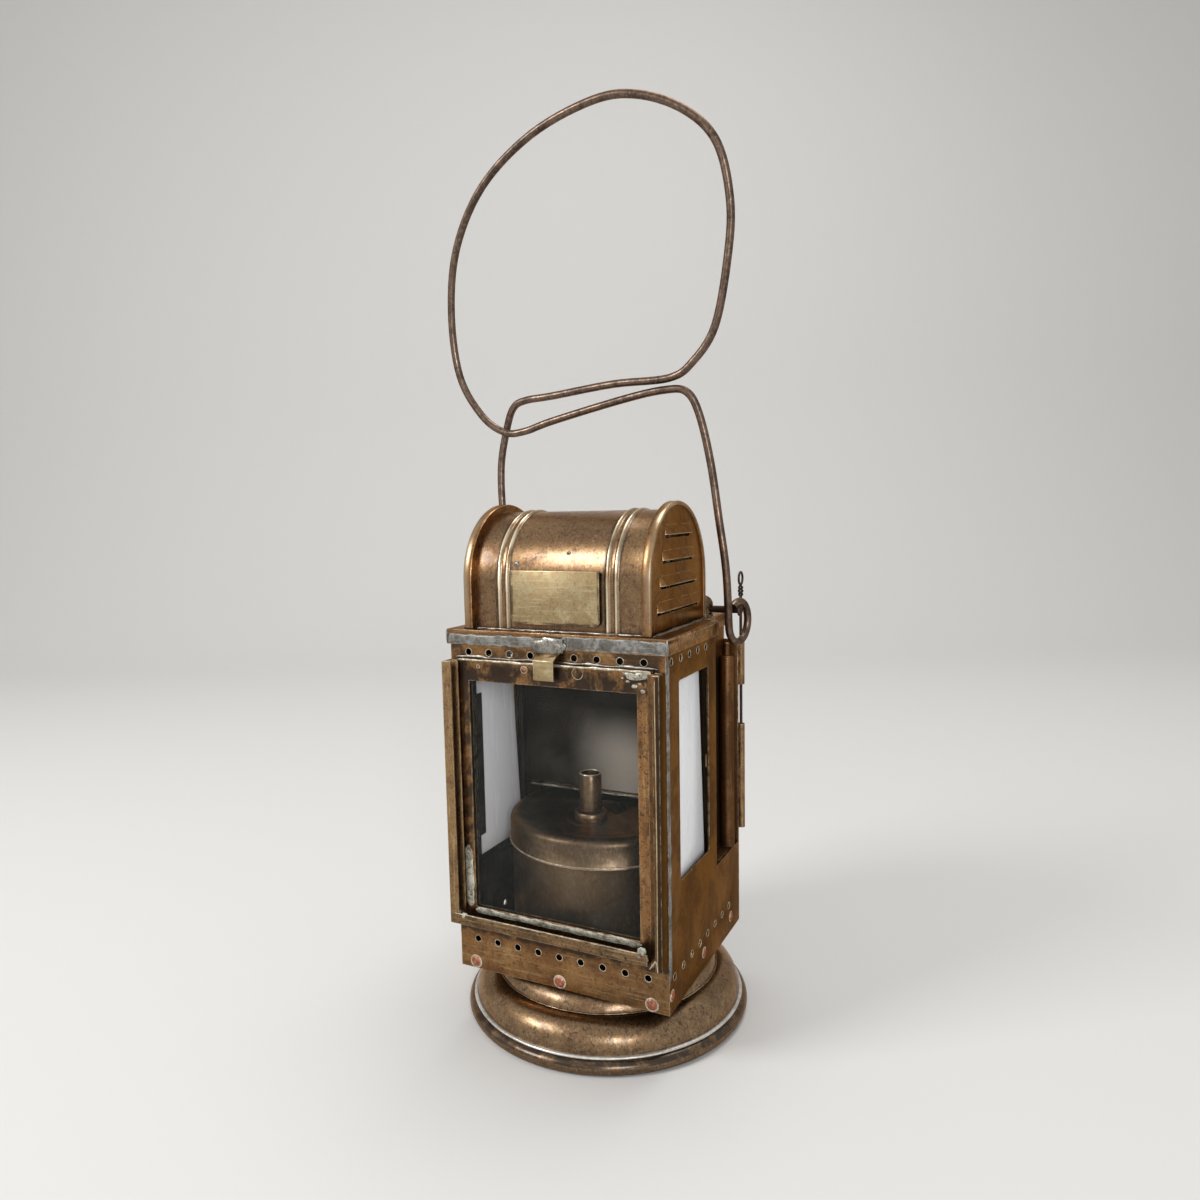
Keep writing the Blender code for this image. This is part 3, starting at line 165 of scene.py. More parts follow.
def make_patina_group():
    """Uneven brown tarnish over warm brass, with rubbed streaks and fine dark specks."""
    tree, g, (source, result) = new_group("Patina", [
        ("Vector", "Vector", None), ("Streaks", "Vector", (1.0, 1.0, 0.1)),
        ("Patch Size", "Float", 55.0), ("Tarnish", "Float", 0.5), ("Rub", "Float", 0.5),
        ("Bright", "Color", GOLD), ("Mid", "Color", BRASS), ("Dull", "Color", BROWN),
        ("Speck", "Color", UMBER), ("Specks", "Float", 0.6)],
        [("Color", "Color"), ("Roughness", "Float"), ("Height", "Float")])
    vector = source.outputs["Vector"]
    broad = g.noise(vector, source.outputs["Patch Size"], 5.0, 0.62, 0.6)
    fine = g.noise(vector, 420.0, 5.0, 0.65)
    grain = g.noise(g.stretch(vector, source.outputs["Streaks"]), 900.0, 3.0, 0.6)
    low = g.math("SUBTRACT", 0.86, source.outputs["Tarnish"])
    high = g.math("ADD", low, 0.26)
    dull = g.math("SUBTRACT", 1.0, g.ramp(g.math("ADD", broad, g.math("MULTIPLY", g.math(
        "SUBTRACT", fine, 0.5), 0.35)), low, high))
    colour = g.mix(dull, source.outputs["Mid"], source.outputs["Dull"])
    rub = g.math("MULTIPLY", g.ramp(grain, 0.50, 0.72), source.outputs["Rub"])
    colour = g.mix(rub, colour, source.outputs["Bright"])
    dots = g.ramp(g.noise(vector, 1300.0, 2.0, 0.5), 0.56, 0.68)
    blots = g.ramp(g.noise(vector, 480.0, 3.0, 0.6), 0.56, 0.70)
    speck = g.math("MULTIPLY", g.math("MAXIMUM", dots, blots), source.outputs["Specks"])
    colour = g.mix(speck, colour, source.outputs["Speck"])
    rough = g.math("ADD", g.math("MULTIPLY", dull, 0.16), g.math("MULTIPLY", fine, 0.16))
    rough = g.math("ADD", g.math("SUBTRACT", rough, g.math("MULTIPLY", rub, 0.06)), 0.22)
    height = g.math("ADD", g.math("MULTIPLY", grain, 0.5), g.math("MULTIPLY", fine, 0.5))
    g.join(colour, result.inputs["Color"])
    g.join(rough, result.inputs["Roughness"])
    g.join(height, result.inputs["Height"])
    return tree


def make_edge_group():
    """Bright wear on outer edges, and dark dirt and painted shade in corners from ambient occlusion, as two
    masks.
    """
    tree, g, (source, result) = new_group("Edges and corners", [
        ("Vector", "Vector", None), ("Wear Width", "Float", 0.0007), ("Occlusion Reach", "Float", 0.004)],
        [("Wear", "Float"), ("Grime and Shade", "Float")])
    bevel = g.add("Bevel", samples=4)
    g.join(source.outputs["Wear Width"], bevel.inputs["Radius"])
    surface = g.add("NewGeometry")
    turn = g.add("VectorMath", operation="DOT_PRODUCT")
    g.join(bevel.outputs["Normal"], turn.inputs[0])
    g.join(surface.outputs["Normal"], turn.inputs[1])
    wear_and_highlight = g.ramp(g.math("SUBTRACT", 1.0, turn.outputs["Value"]), 0.02, 0.22)
    patchy = g.ramp(g.noise(source.outputs["Vector"], 260.0, 4.0, 0.6), 0.38, 0.60)
    g.join(g.math("MULTIPLY", wear_and_highlight, patchy), result.inputs["Wear"])
    # Ambient occlusion darkens corners, creases and recesses: partly dirt, partly painted shade.
    shade = g.add("AmbientOcclusion", samples=6, only_local=False)
    g.join(source.outputs["Occlusion Reach"], shade.inputs["Distance"])
    closed = g.math("SUBTRACT", 1.0, shade.outputs["AO"])
    grime_and_shade = g.ramp(g.math("ADD", closed, g.math("MULTIPLY", g.math(
        "SUBTRACT", g.noise(source.outputs["Vector"], 330.0, 4.0, 0.6), 0.5), 0.5)), 0.30, 0.78)
    g.join(grime_and_shade, result.inputs["Grime and Shade"])
    return tree


def make_bloom_group():
    """Pale green and white bloom that creeps along soldered seams."""
    tree, g, (source, result) = new_group("Bloom", [
        ("Vector", "Vector", None), ("Amount", "Float", 0.5)], [("Mask", "Float"), ("Color", "Color")])
    vector = source.outputs["Vector"]
    patch = g.noise(vector, 170.0, 6.0, 0.7, 0.8)
    crumb = g.noise(vector, 900.0, 3.0, 0.6)
    level = g.math("SUBTRACT", 0.92, g.math("MULTIPLY", source.outputs["Amount"], 0.5))
    body = g.math("ADD", patch, g.math("MULTIPLY", g.math("SUBTRACT", crumb, 0.5), 0.4))
    g.join(g.ramp(body, level, g.math("ADD", level, 0.10)), result.inputs["Mask"])
    g.join(g.mix(g.ramp(crumb, 0.40, 0.62), VERDIGRIS, (0.62, 0.64, 0.58)), result.inputs["Color"])
    return tree


def make_stain_and_shade_group():
    """Soft dark blotches between two levels across one axis, used for real stain marks and for painted
    shadow and shade.
    """
    tree, g, (source, result) = new_group("Stain and shade", [
        ("Vector", "Vector", None), ("Axis", "Vector", (0.0, 0.0, 1.0)), ("Low", "Float", 0.0),
        ("High", "Float", 0.01), ("Soft", "Float", 0.003), ("Amount", "Float", 0.8),
        ("Drift", "Float", 3.0)], [("Mask", "Float")])
    along = g.add("VectorMath", operation="DOT_PRODUCT")
    g.join(source.outputs["Vector"], along.inputs[0])
    g.join(source.outputs["Axis"], along.inputs[1])
    drift = g.math("SUBTRACT", g.noise(source.outputs["Vector"], 130.0, 4.0, 0.6, 0.5), 0.5)
    level = g.math("ADD", along.outputs["Value"], g.math("MULTIPLY", drift, g.math(
        "MULTIPLY", source.outputs["Soft"], source.outputs["Drift"])))
    low, high, soft = source.outputs["Low"], source.outputs["High"], source.outputs["Soft"]
    rise = g.ramp(level, g.math("SUBTRACT", low, soft), low)
    fall = g.ramp(level, high, g.math("ADD", high, soft))
    inside = g.math("MULTIPLY", rise, g.math("SUBTRACT", 1.0, fall))
    broad = g.noise(source.outputs["Vector"], 75.0, 5.0, 0.65, 0.7)
    clean = g.math("SUBTRACT", 1.0, g.ramp(broad, 0.39, 0.53))
    spared = g.math("MULTIPLY", clean, g.math("MULTIPLY", source.outputs["Drift"], 0.3, clamp=True))
    inside = g.math("MULTIPLY", inside, g.math("SUBTRACT", 1.0, spared))
    g.join(g.math("MULTIPLY", inside, source.outputs["Amount"], clamp=True), result.inputs["Mask"])
    return tree


PATINA = make_patina_group()
STAIN_AND_SHADE = make_stain_and_shade_group()
EDGES = make_edge_group()
BLOOM = make_bloom_group()


def new_material(name):
    material = bpy.data.materials.new(name)
    material.use_nodes = True
    return material, Graph(material.node_tree), material.node_tree.nodes["Principled BSDF"]


def place_group(g, tree, vector, **values):
    node = g.add("Group")
    node.node_tree = tree
    g.join(vector, node.inputs["Vector"])
    for key, value in values.items():
        slot = node.inputs[key.replace("_", " ")]
        slot.default_value = (*value, 1) if slot.type == "RGBA" else value
    return node


def bump(g, shader, height, strength, distance):
    node = g.add("Bump")
    node.inputs["Strength"].default_value = strength
    node.inputs["Distance"].default_value = distance
    g.join(height, node.inputs["Height"])
    g.join(node.outputs["Normal"], shader.inputs["Normal"])


def metal(name, bright=GOLD, mid=BRASS, dull=BROWN, speck=UMBER, streaks=(1.0, 1.0, 0.08), patch=55.0,
          tarnish=0.5, rub=0.5, bloom=0.0, wear=0.8, grime_and_shade=0.9, rough=0.0, coat=0.18, wear_and_highlight=WEAR_AND_HIGHLIGHT,
          specks=0.6, drift=3.0, shine=1.0, edge=(0.85, 0.56, 0.36), soil_and_shade=UMBER, stains_and_shade=()):
    """Aged metal: patina, edge wear, corners darkened with dirt and painted shade, stain bands and painted
    shadows, painted highlights and, where it is asked for, a pale bloom.
    """
    material, g, shader = new_material(name)
    vector = g.add("TexCoord").outputs["Object"]
    patina = place_group(g, PATINA, vector, Streaks=streaks, Patch_Size=patch, Tarnish=tarnish, Rub=rub,
                         Bright=bright, Mid=mid, Dull=dull, Speck=speck, Specks=specks)
    edges = place_group(g, EDGES, vector)
    # Corners mixed toward umber: dirt and painted shade.
    colour = g.mix(g.math("MULTIPLY", edges.outputs["Grime and Shade"], grime_and_shade), patina.outputs["Color"], UMBER)
    # Bands of real stain and of painted shadow, as noted at each material.
    for axis, low, high, soft, amount in stains_and_shade:
        node = place_group(g, STAIN_AND_SHADE, vector, Axis=axis, Low=low, High=high, Soft=soft, Amount=amount,
                           Drift=drift)
        colour = g.mix(node.outputs["Mask"], colour, soil_and_shade)
    # Painted highlights on rib crests, cap rims and louvre lips come from this attribute; the bevel mask
    # adds edge wear.
    painted = g.add("Attribute", attribute_name="wear_and_highlight").outputs["Fac"]
    rub_and_highlight = g.math("MAXIMUM", g.math("MULTIPLY", edges.outputs["Wear"], wear), painted)
    colour = g.mix(rub_and_highlight, colour, wear_and_highlight)
    roughness = g.math("ADD", patina.outputs["Roughness"], rough)
    roughness = g.math("ADD", roughness, g.math("MULTIPLY", edges.outputs["Grime and Shade"], 0.2))
    roughness = g.math("SUBTRACT", roughness, g.math("MULTIPLY", rub_and_highlight, 0.08))
    metallic = shine
    if bloom > 0:
        crust = place_group(g, BLOOM, vector, Amount=bloom)
        mask = g.math("MULTIPLY", crust.outputs["Mask"], 0.8)
        colour = g.mix(mask, colour, crust.outputs["Color"])
        roughness = g.math("ADD", roughness, g.math("MULTIPLY", mask, 0.35))
        metallic = g.math("MULTIPLY", g.math("SUBTRACT", 1.0, mask), shine)
    g.join(colour, shader.inputs["Base Color"])
    g.join(roughness, shader.inputs["Roughness"])
    if isinstance(metallic, float):
        shader.inputs["Metallic"].default_value = metallic
    else:
        g.join(metallic, shader.inputs["Metallic"])
    shader.inputs["Specular Tint"].default_value = (*edge, 1)
    shader.inputs["Coat Weight"].default_value = coat
    shader.inputs["Coat Roughness"].default_value = 0.20
    bump(g, shader, patina.outputs["Height"], 0.12, 0.0003)
    return material


def glass_material():
    """Clear old window glass: thin, with faint patchy dust."""
    material, g, shader = new_material("window glass")
    vector = g.add("TexCoord").outputs["Object"]
    dust = g.ramp(g.noise(vector, 90.0, 5.0, 0.6, 0.4), 0.42, 0.75)
    g.join(g.mix(dust, (0.50, 0.54, 0.52), (0.60, 0.59, 0.54)), shader.inputs["Base Color"])
    facing = g.add("Fresnel")
    facing.inputs["IOR"].default_value = 1.30
    alpha = g.math("ADD", g.math("MULTIPLY", facing.outputs[0], 0.35), g.math("MULTIPLY", dust, 0.012))
    g.join(g.math("ADD", alpha, 0.004, clamp=True), shader.inputs["Alpha"])
    g.join(g.math("ADD", g.math("MULTIPLY", dust, 0.15), 0.05), shader.inputs["Roughness"])
    return material


def opal_material():
    """Milk-white glass with a soft shine and a little dust."""
    material, g, shader = new_material("opal glass")
    vector = g.add("TexCoord").outputs["Object"]
    cloud = g.noise(vector, 35.0, 3.0, 0.5)
    streak = g.ramp(g.noise(g.stretch(vector, (1.0, 1.0, 0.08)), 160.0, 4.0, 0.6), 0.50, 0.85)
    colour = g.mix(cloud, (0.80, 0.81, 0.84), (0.88, 0.88, 0.90))
    g.join(g.mix(g.math("MULTIPLY", streak, 0.22), colour, (0.62, 0.59, 0.55)), shader.inputs["Base Color"])
    g.join(g.math("ADD", g.math("MULTIPLY", streak, 0.2), 0.24), shader.inputs["Roughness"])
    shader.inputs["Subsurface Weight"].default_value = 0.6
    shader.inputs["Subsurface Radius"].default_value = (1, 1, 1)
    shader.inputs["Subsurface Scale"].default_value = 0.003
    bump(g, shader, cloud, 0.08, 0.0004)
    return material


def wick_material():
    """Woven cotton, scorched at the top."""
    material, g, shader = new_material("cotton wick")
    vector = g.add("TexCoord").outputs["Object"]
    weave = g.add("TexWave", wave_type="BANDS", bands_direction="DIAGONAL")
    weave.inputs["Scale"].default_value = 500.0
    g.join(vector, weave.inputs["Vector"])
    axes = g.add("SeparateXYZ")
    g.join(vector, axes.inputs[0])
    burnt = g.ramp(axes.outputs["Z"], 0.1060, 0.1090)
    cloth = g.mix(weave.outputs["Fac"], (0.60, 0.56, 0.47), (0.42, 0.38, 0.31))
    g.join(g.mix(burnt, cloth, (0.05, 0.045, 0.04)), shader.inputs["Base Color"])
    shader.inputs["Roughness"].default_value = 0.95
    bump(g, shader, weave.outputs["Fac"], 0.6, 0.0003)
    return material


LEVEL = (0.06, 1.0, 1.0)
UPRIGHT = (1.0, 1.0, 0.06)
ROUND = (1.0, 1.0, 0.5)
ABOVE = (0.0, 0.0, 1.0)
BESIDE = (1.0, 0.0, 0.0)
BEHIND = (0.0, 1.0, 0.0)

MATERIALS = {
    # Front sheet bands: the lowest is a painted shadow under the sill; the others darken the strip under the
    # cover lip and the right-hand part.
    "front": metal("front sheet", bright=(0.60, 0.42, 0.21), mid=(0.300, 0.160, 0.062),
                   dull=(0.175, 0.082, 0.031), streaks=LEVEL, tarnish=0.51, rub=0.35, stains_and_shade=(
                       (ABOVE, 0.0440, 0.0500, 0.0020, 0.92), (ABOVE, 0.1655, 0.1705, 0.0030, 0.80),
                       (BESIDE, 0.0200, 0.0480, 0.0200, 0.25))),
    "lip": metal("cover sheet", mid=(0.26, 0.130, 0.050), streaks=LEVEL, patch=90.0, tarnish=0.52, rub=0.35),
    # Darker than the front: painted shade on the sheets that face away from the lamps (sides, rear and
    # recess walls).
    "side": metal("side sheet darkened for shade", bright=(0.30, 0.18, 0.085), mid=(0.155, 0.079, 0.033),
                  dull=(0.090, 0.043, 0.018), streaks=UPRIGHT, patch=40.0, tarnish=0.48, rub=0.25, coat=0.06,
                  rough=0.08),
    "foot": metal("spun foot", bright=(0.46, 0.36, 0.24), mid=(0.218, 0.132, 0.062),
                  dull=(0.125, 0.066, 0.029), streaks=ROUND, patch=75.0, tarnish=0.54, rub=0.35,
                  coat=0.55, specks=0.8,
                  # Foot bands: the two low ones darken the bead; the top one is a painted shadow on the neck
                  # under the casing's lower edge.
                  stains_and_shade=((ABOVE, -0.01, 0.0030, 0.0020, 0.35), (ABOVE, 0.0044, 0.0062, 0.0005, 0.95),
                          (ABOVE, 0.0240, 0.0300, 0.0010, 0.6))),
    "roof": metal("roof sheet", bright=(0.46, 0.33, 0.19), mid=(0.222, 0.126, 0.055),
                  dull=(0.122, 0.062, 0.028), streaks=ROUND, patch=75.0, tarnish=0.54, rub=0.30, coat=0.60,
                  # Thin dark lines at the outer feet of each rib pair: painted shade in the creases.
                  specks=0.7, stains_and_shade=(
                      (BESIDE, -0.0291, -0.0287, 0.0004, 0.8), (BESIDE, -0.0221, -0.0217, 0.0004, 0.8),
                      (BESIDE, 0.0217, 0.0221, 0.0004, 0.8), (BESIDE, 0.0287, 0.0291, 0.0004, 0.8))),
    "cap": metal("end cap sheet", bright=(0.46, 0.28, 0.125), mid=(0.28, 0.138, 0.048),
                 dull=(0.165, 0.074, 0.026), streaks=UPRIGHT, patch=60.0, tarnish=0.50, rub=0.25, coat=0.15),
    "guide": metal("guide strip", mid=(0.29, 0.180, 0.085), streaks=UPRIGHT, tarnish=0.53, rub=0.45),
    # Darker copy of the guide strip, its outer wall darker still: painted shade on the right guide.
    "guide shaded": metal("guide strip darkened for shade", bright=(0.28, 0.18, 0.095), mid=(0.150, 0.078, 0.033),
                        dull=(0.080, 0.041, 0.018), streaks=UPRIGHT, tarnish=0.53, rub=0.30, coat=0.05,
                        drift=0.4, stains_and_shade=((BESIDE, 0.0486, 0.06, 0.0003, 0.93),)),
    "frame": metal("window frame sheet", mid=(0.29, 0.145, 0.055), dull=(0.130, 0.062, 0.025),
                   streaks=UPRIGHT, patch=120.0, tarnish=0.54, rub=0.35, bloom=0.08, specks=0.9, stains_and_shade=(
                       (ABOVE, 0.1578, 0.1638, 0.0024, 0.97), (ABOVE, 0.1560, 0.1800, 0.0040, 0.55),
                       (BESIDE, -0.060, -0.0402, 0.0020, 0.90), (ABOVE, 0.040, 0.0560, 0.0020, 0.6))),
    "inner": metal("dark inner sheet", bright=(0.20, 0.14, 0.08), mid=(0.085, 0.055, 0.033),
                   dull=(0.042, 0.028, 0.018), streaks=UPRIGHT, tarnish=0.5, rub=0.3, rough=0.1, coat=0.0),
    "sill": metal("sill channel sheet", mid=(0.20, 0.118, 0.058), dull=(0.085, 0.050, 0.028), streaks=LEVEL,
                  tarnish=0.54, rub=0.40, bloom=0.22, specks=0.9),
    "solder": metal("solder", bright=(0.50, 0.50, 0.48), mid=(0.30, 0.295, 0.28), dull=(0.14, 0.130, 0.115),
                    streaks=LEVEL, patch=120.0, tarnish=0.46, rub=0.3, bloom=0.05, rough=0.10, wear=0.3,
                    coat=0.05, wear_and_highlight=CREAM, edge=(1.0, 1.0, 1.0)),
    "seam": metal("soldered seam", mid=(0.30, 0.285, 0.25), dull=(0.12, 0.105, 0.085), bright=SOLDER,
                  streaks=LEVEL, patch=150.0, tarnish=0.48, rub=0.5, bloom=0.20, rough=0.05, wear_and_highlight=CREAM),
    "crust": metal("chalky solder crust", bright=CREAM, mid=(0.50, 0.49, 0.42), dull=(0.15, 0.135, 0.10),
                   streaks=LEVEL, patch=200.0, tarnish=0.50, rub=0.4, bloom=0.50, rough=0.12, specks=0.8,
                   shine=0.6),
    "pale band": metal("pale scraped band", bright=(0.86, 0.85, 0.82), mid=(0.72, 0.70, 0.66),
                       dull=(0.46, 0.43, 0.38), streaks=ROUND, patch=60.0, tarnish=0.46, rub=0.4, grime_and_shade=0.3,
                       wear=0.0, shine=0.7, specks=0.15, edge=(1.0, 1.0, 1.0)),
    "burr": metal("bright burr", bright=(0.80, 0.78, 0.70), mid=(0.66, 0.61, 0.49), dull=(0.30, 0.24, 0.16),
                  streaks=ROUND, patch=300.0, tarnish=0.42, rub=0.5, grime_and_shade=0.4, shine=0.55, specks=0.3),
    # Near-black sheet: painted shade for the rails in the dark gaps beside the opal panes.
    "shade black": metal("near-black sheet for shade", bright=(0.05, 0.036, 0.025), mid=(0.025, 0.018, 0.013),
                  dull=(0.015, 0.011, 0.008), streaks=UPRIGHT, tarnish=0.5, rub=0.2, wear=0.0, rough=0.2,
                  coat=0.0),
    "plate": metal("plate brass", bright=(0.66, 0.56, 0.36), mid=(0.47, 0.375, 0.215),
                   dull=(0.33, 0.240, 0.125), streaks=LEVEL, patch=120.0, tarnish=0.44, rub=0.35,
                   # Darker bands along the plate's lower, left and right edges, and heavier corner
                   # darkening: painted shadow round the plate.
                   grime_and_shade=1.2, specks=0.3, stains_and_shade=(
                       (ABOVE, 0.1700, 0.1822, 0.0007, 0.75), (BESIDE, -0.03, -0.0203, 0.0006, 0.75),
                       (BESIDE, 0.0197, 0.03, 0.0006, 0.75))),
    "bronze": metal("dark bronze", bright=(0.34, 0.240, 0.140), mid=(0.165, 0.110, 0.062),
                    dull=(0.095, 0.062, 0.035), streaks=ROUND, tarnish=0.45, rub=0.3, wear=0.6, coat=0.15,
                    grime_and_shade=0.5),
    # Lighter than the lid's bronze: painted light on the tank body, which little lamp light reaches.
    "tank": metal("oil tank sheet with painted light", bright=(0.58, 0.440, 0.270), mid=(0.36, 0.255, 0.150),
                  dull=(0.24, 0.160, 0.090), streaks=ROUND, tarnish=0.42, rub=0.3, coat=0.10, grime_and_shade=0.4,
                  specks=0.25),
    "mirror": metal("reflector sheet", bright=(0.84, 0.80, 0.73), mid=(0.78, 0.73, 0.65),
                    dull=(0.68, 0.61, 0.52), streaks=LEVEL, patch=14.0, tarnish=0.25, rub=0.15, wear=0.0,
                    rough=0.30, coat=0.0, grime_and_shade=0.2, specks=0.05, drift=0.06, shine=0.0,
                    edge=(0.25, 0.20, 0.16), soil_and_shade=(0.014, 0.009, 0.006),
                    # The upper and left bands are painted shadow, leaving a lit patch at the lower right;
                    # the third band darkens the back face.
                    stains_and_shade=((ABOVE, 0.1370, 0.3, 0.0260, 1.0), (BESIDE, -0.09, -0.0270, 0.0380, 1.0),
                            (BEHIND, 0.0128, 0.0200, 0.0003, 0.9))),
    "wire": metal("bail wire", bright=(0.36, 0.29, 0.235), mid=(0.150, 0.100, 0.072),
                  dull=(0.070, 0.045, 0.032), streaks=ROUND, patch=120.0, tarnish=0.52, rub=0.35, wear=0.0,
                  grime_and_shade=0.3, rough=0.04, coat=0.25, wear_and_highlight=(0.42, 0.41, 0.40)),
    "pin": metal("blackened wire", bright=(0.16, 0.12, 0.09), mid=(0.06, 0.042, 0.032),
                 dull=(0.035, 0.025, 0.02), streaks=ROUND, tarnish=0.5, rub=0.2, wear=0.3, rough=0.1),
    "copper": metal("copper rivet", bright=(0.80, 0.44, 0.31), mid=COPPER, dull=(0.33, 0.115, 0.070),
                    streaks=ROUND, patch=260.0, tarnish=0.40, rub=0.4, grime_and_shade=0.4, rough=0.08),
    "glass": glass_material(),
    "opal": opal_material(),
    "wick": wick_material(),
}


# Shaping helpers

def finish(name, bm, look, body="casing", nodes=(), smooth=38, recalculate=True):
    if recalculate:
        bmesh.ops.recalc_face_normals(bm, faces=bm.faces)
    mesh = bpy.data.meshes.new(name)
    bm.to_mesh(mesh)
    bm.free()
    piece = bpy.data.objects.new(name, mesh)
    bpy.context.collection.objects.link(piece)
    mesh.materials.append(MATERIALS[look])
    mesh.shade_smooth()
    mesh.set_sharp_from_angle(angle=math.radians(smooth))
    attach(piece, body)
    if nodes:
        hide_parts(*nodes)
    return piece


def soften(bm, width, segments=2, angle=35):
    """Round every edge that turns by more than the angle."""
    bm.normal_update()
    sharp = [e for e in bm.edges if len(e.link_faces) == 2 and e.calc_face_angle() > math.radians(angle)]
    bmesh.ops.bevel(bm, geom=sharp, offset=width, segments=segments, affect="EDGES", profile=0.5,
                    material=-1, clamp_overlap=True)


def paint_wear_and_highlight(piece, share):
    """Store a painted highlight share for each corner of the mesh, partly wear on the rib crests, from a
    rule on its place.
    """
    layer = piece.data.attributes.new("wear_and_highlight", "FLOAT", "POINT")
    for slot, vert in zip(layer.data, piece.data.vertices):
        patch = 0.5 + 0.9 * noise.noise(vert.co * 150)
        slot.value = max(0.0, min(1.0, share(vert.co) * patch))


def spot(axis, a, b, level):
    """A point from two coordinates on a plane across the axis."""
    if axis == "X":
        return Vector((level, a, b))
    if axis == "Y":
        return Vector((a, level, b))
    return Vector((a, b, level))


PUSH = {"X": Vector((1, 0, 0)), "Y": Vector((0, 1, 0)), "Z": Vector((0, 0, 1))}


def plate(loops, axis, start, end, edge=0.00015):
    """A flat sheet from an outline and its holes, with softened edges."""
    bm = bmesh.new()
    add_plate(bm, loops, axis, start, end)
    soften(bm, edge)
    return bm


def add_plate(bm, loops, axis, start, end):
    edges = []
    for loop in loops:
        verts = [bm.verts.new(spot(axis, a, b, start)) for a, b in loop]
        edges += [bm.edges.new((verts[k - 1], verts[k])) for k in range(len(verts))]
    filled = bmesh.ops.triangle_fill(bm, use_beauty=True, use_dissolve=len(loops) == 1, edges=edges)
    faces = [item for item in filled["geom"] if isinstance(item, bmesh.types.BMFace)]
    moved = bmesh.ops.extrude_face_region(bm, geom=faces, use_keep_orig=True)["geom"]
    verts = [item for item in moved if isinstance(item, bmesh.types.BMVert)]
    bmesh.ops.translate(bm, verts=verts, vec=PUSH[axis] * (end - start))
    bmesh.ops.recalc_face_normals(bm, faces=bm.faces)


def circle(a, b, radius, steps=16):
    return [(a + radius * math.cos(math.tau * k / steps), b + radius * math.sin(math.tau * k / steps))
            for k in range(steps)]


def oval(a, b, wide, high, steps):
    return [(a + wide * math.cos(math.tau * k / steps), b + high * math.sin(math.tau * k / steps))
            for k in range(steps)]


def rectangle(a0, b0, a1, b1, corner=0.0, steps=3):
    if corner <= 0:
        return [(a0, b0), (a1, b0), (a1, b1), (a0, b1)]
    points = []
    for quarter, (ca, cb) in enumerate(((a1 - corner, b1 - corner), (a0 + corner, b1 - corner),
                                        (a0 + corner, b0 + corner), (a1 - corner, b0 + corner))):
        for step in range(steps + 1):
            angle = (quarter + step / steps) * math.pi / 2
            points.append((ca + corner * math.cos(angle), cb + corner * math.sin(angle)))
    return points


def turned(profile, centre=(0, 0), steps=96):
    """Turn a closed outline of (radius, height) points about an upright axis."""
    bm = bmesh.new()
    verts = [bm.verts.new((r, 0, z)) for r, z in profile]
    edges = [bm.edges.new((verts[k - 1], verts[k])) for k in range(len(verts))]
    bmesh.ops.spin(bm, geom=verts + edges, cent=(0, 0, 0), axis=(0, 0, 1), dvec=(0, 0, 0),
                   angle=math.tau, steps=steps, use_merge=True)
    bmesh.ops.remove_doubles(bm, verts=bm.verts, dist=0.000002)
    bmesh.ops.translate(bm, verts=bm.verts, vec=(*centre, 0))
    return bm


def arc(cx, cz, radius, start, end, steps):
    return [(cx + radius * math.cos(math.radians(start + (end - start) * k / steps)),
             cz + radius * math.sin(math.radians(start + (end - start) * k / steps)))
            for k in range(steps + 1)]


def box(bm, low, high):
    low, high = Vector(low), Vector(high)
    place = Matrix.Translation((low + high) / 2) @ Matrix.Diagonal((*(high - low), 1))
    return bmesh.ops.create_cube(bm, size=1, matrix=place)["verts"]


def smooth_run(points, steps):
    """Evenly read points on a smooth curve through the given ones."""
    padded = [points[0] * 2 - points[1]] + list(points) + [points[-1] * 2 - points[-2]]
    run = []
    for p0, p1, p2, p3 in zip(padded, padded[1:], padded[2:], padded[3:]):
        for step in range(steps):
            t = step / steps
            run.append(0.5 * ((2 * p1) + (p2 - p0) * t + (2 * p0 - 5 * p1 + 4 * p2 - p3) * t * t
                              + (3 * p1 - p0 - 3 * p2 + p3) * t * t * t))
    run.append(points[-1])
    return run


def wire(name, points, radius, look, body, nodes=(), resolution=5):
    curve = bpy.data.curves.new(name, "CURVE")
    curve.dimensions = "3D"
    curve.bevel_depth = radius
    curve.bevel_resolution = resolution
    curve.use_fill_caps = True
    spline = curve.splines.new("POLY")
    spline.points.add(len(points) - 1)
    for slot, point in zip(spline.points, points):
        slot.co = (*point, 1)
    piece = bpy.data.objects.new(name, curve)
    bpy.context.collection.objects.link(piece)
    curve.materials.append(MATERIALS[look])
    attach(piece, body)
    if nodes:
        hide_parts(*nodes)
    return piece


def blob(bm, centre, size, seed, level=2):
    """A small lump of solder, flattened and uneven."""
    made = bmesh.ops.create_icosphere(bm, subdivisions=level, radius=1)["verts"]
    wide, deep, high = size
    for vert in made:
        lump = 1 + 0.22 * noise.noise(vert.co * 1.7 + Vector((seed, 0, 0)))
        shaped = Vector((vert.co.x * wide, vert.co.y * deep, vert.co.z * high))
        vert.co = Vector(centre) + shaped * lump


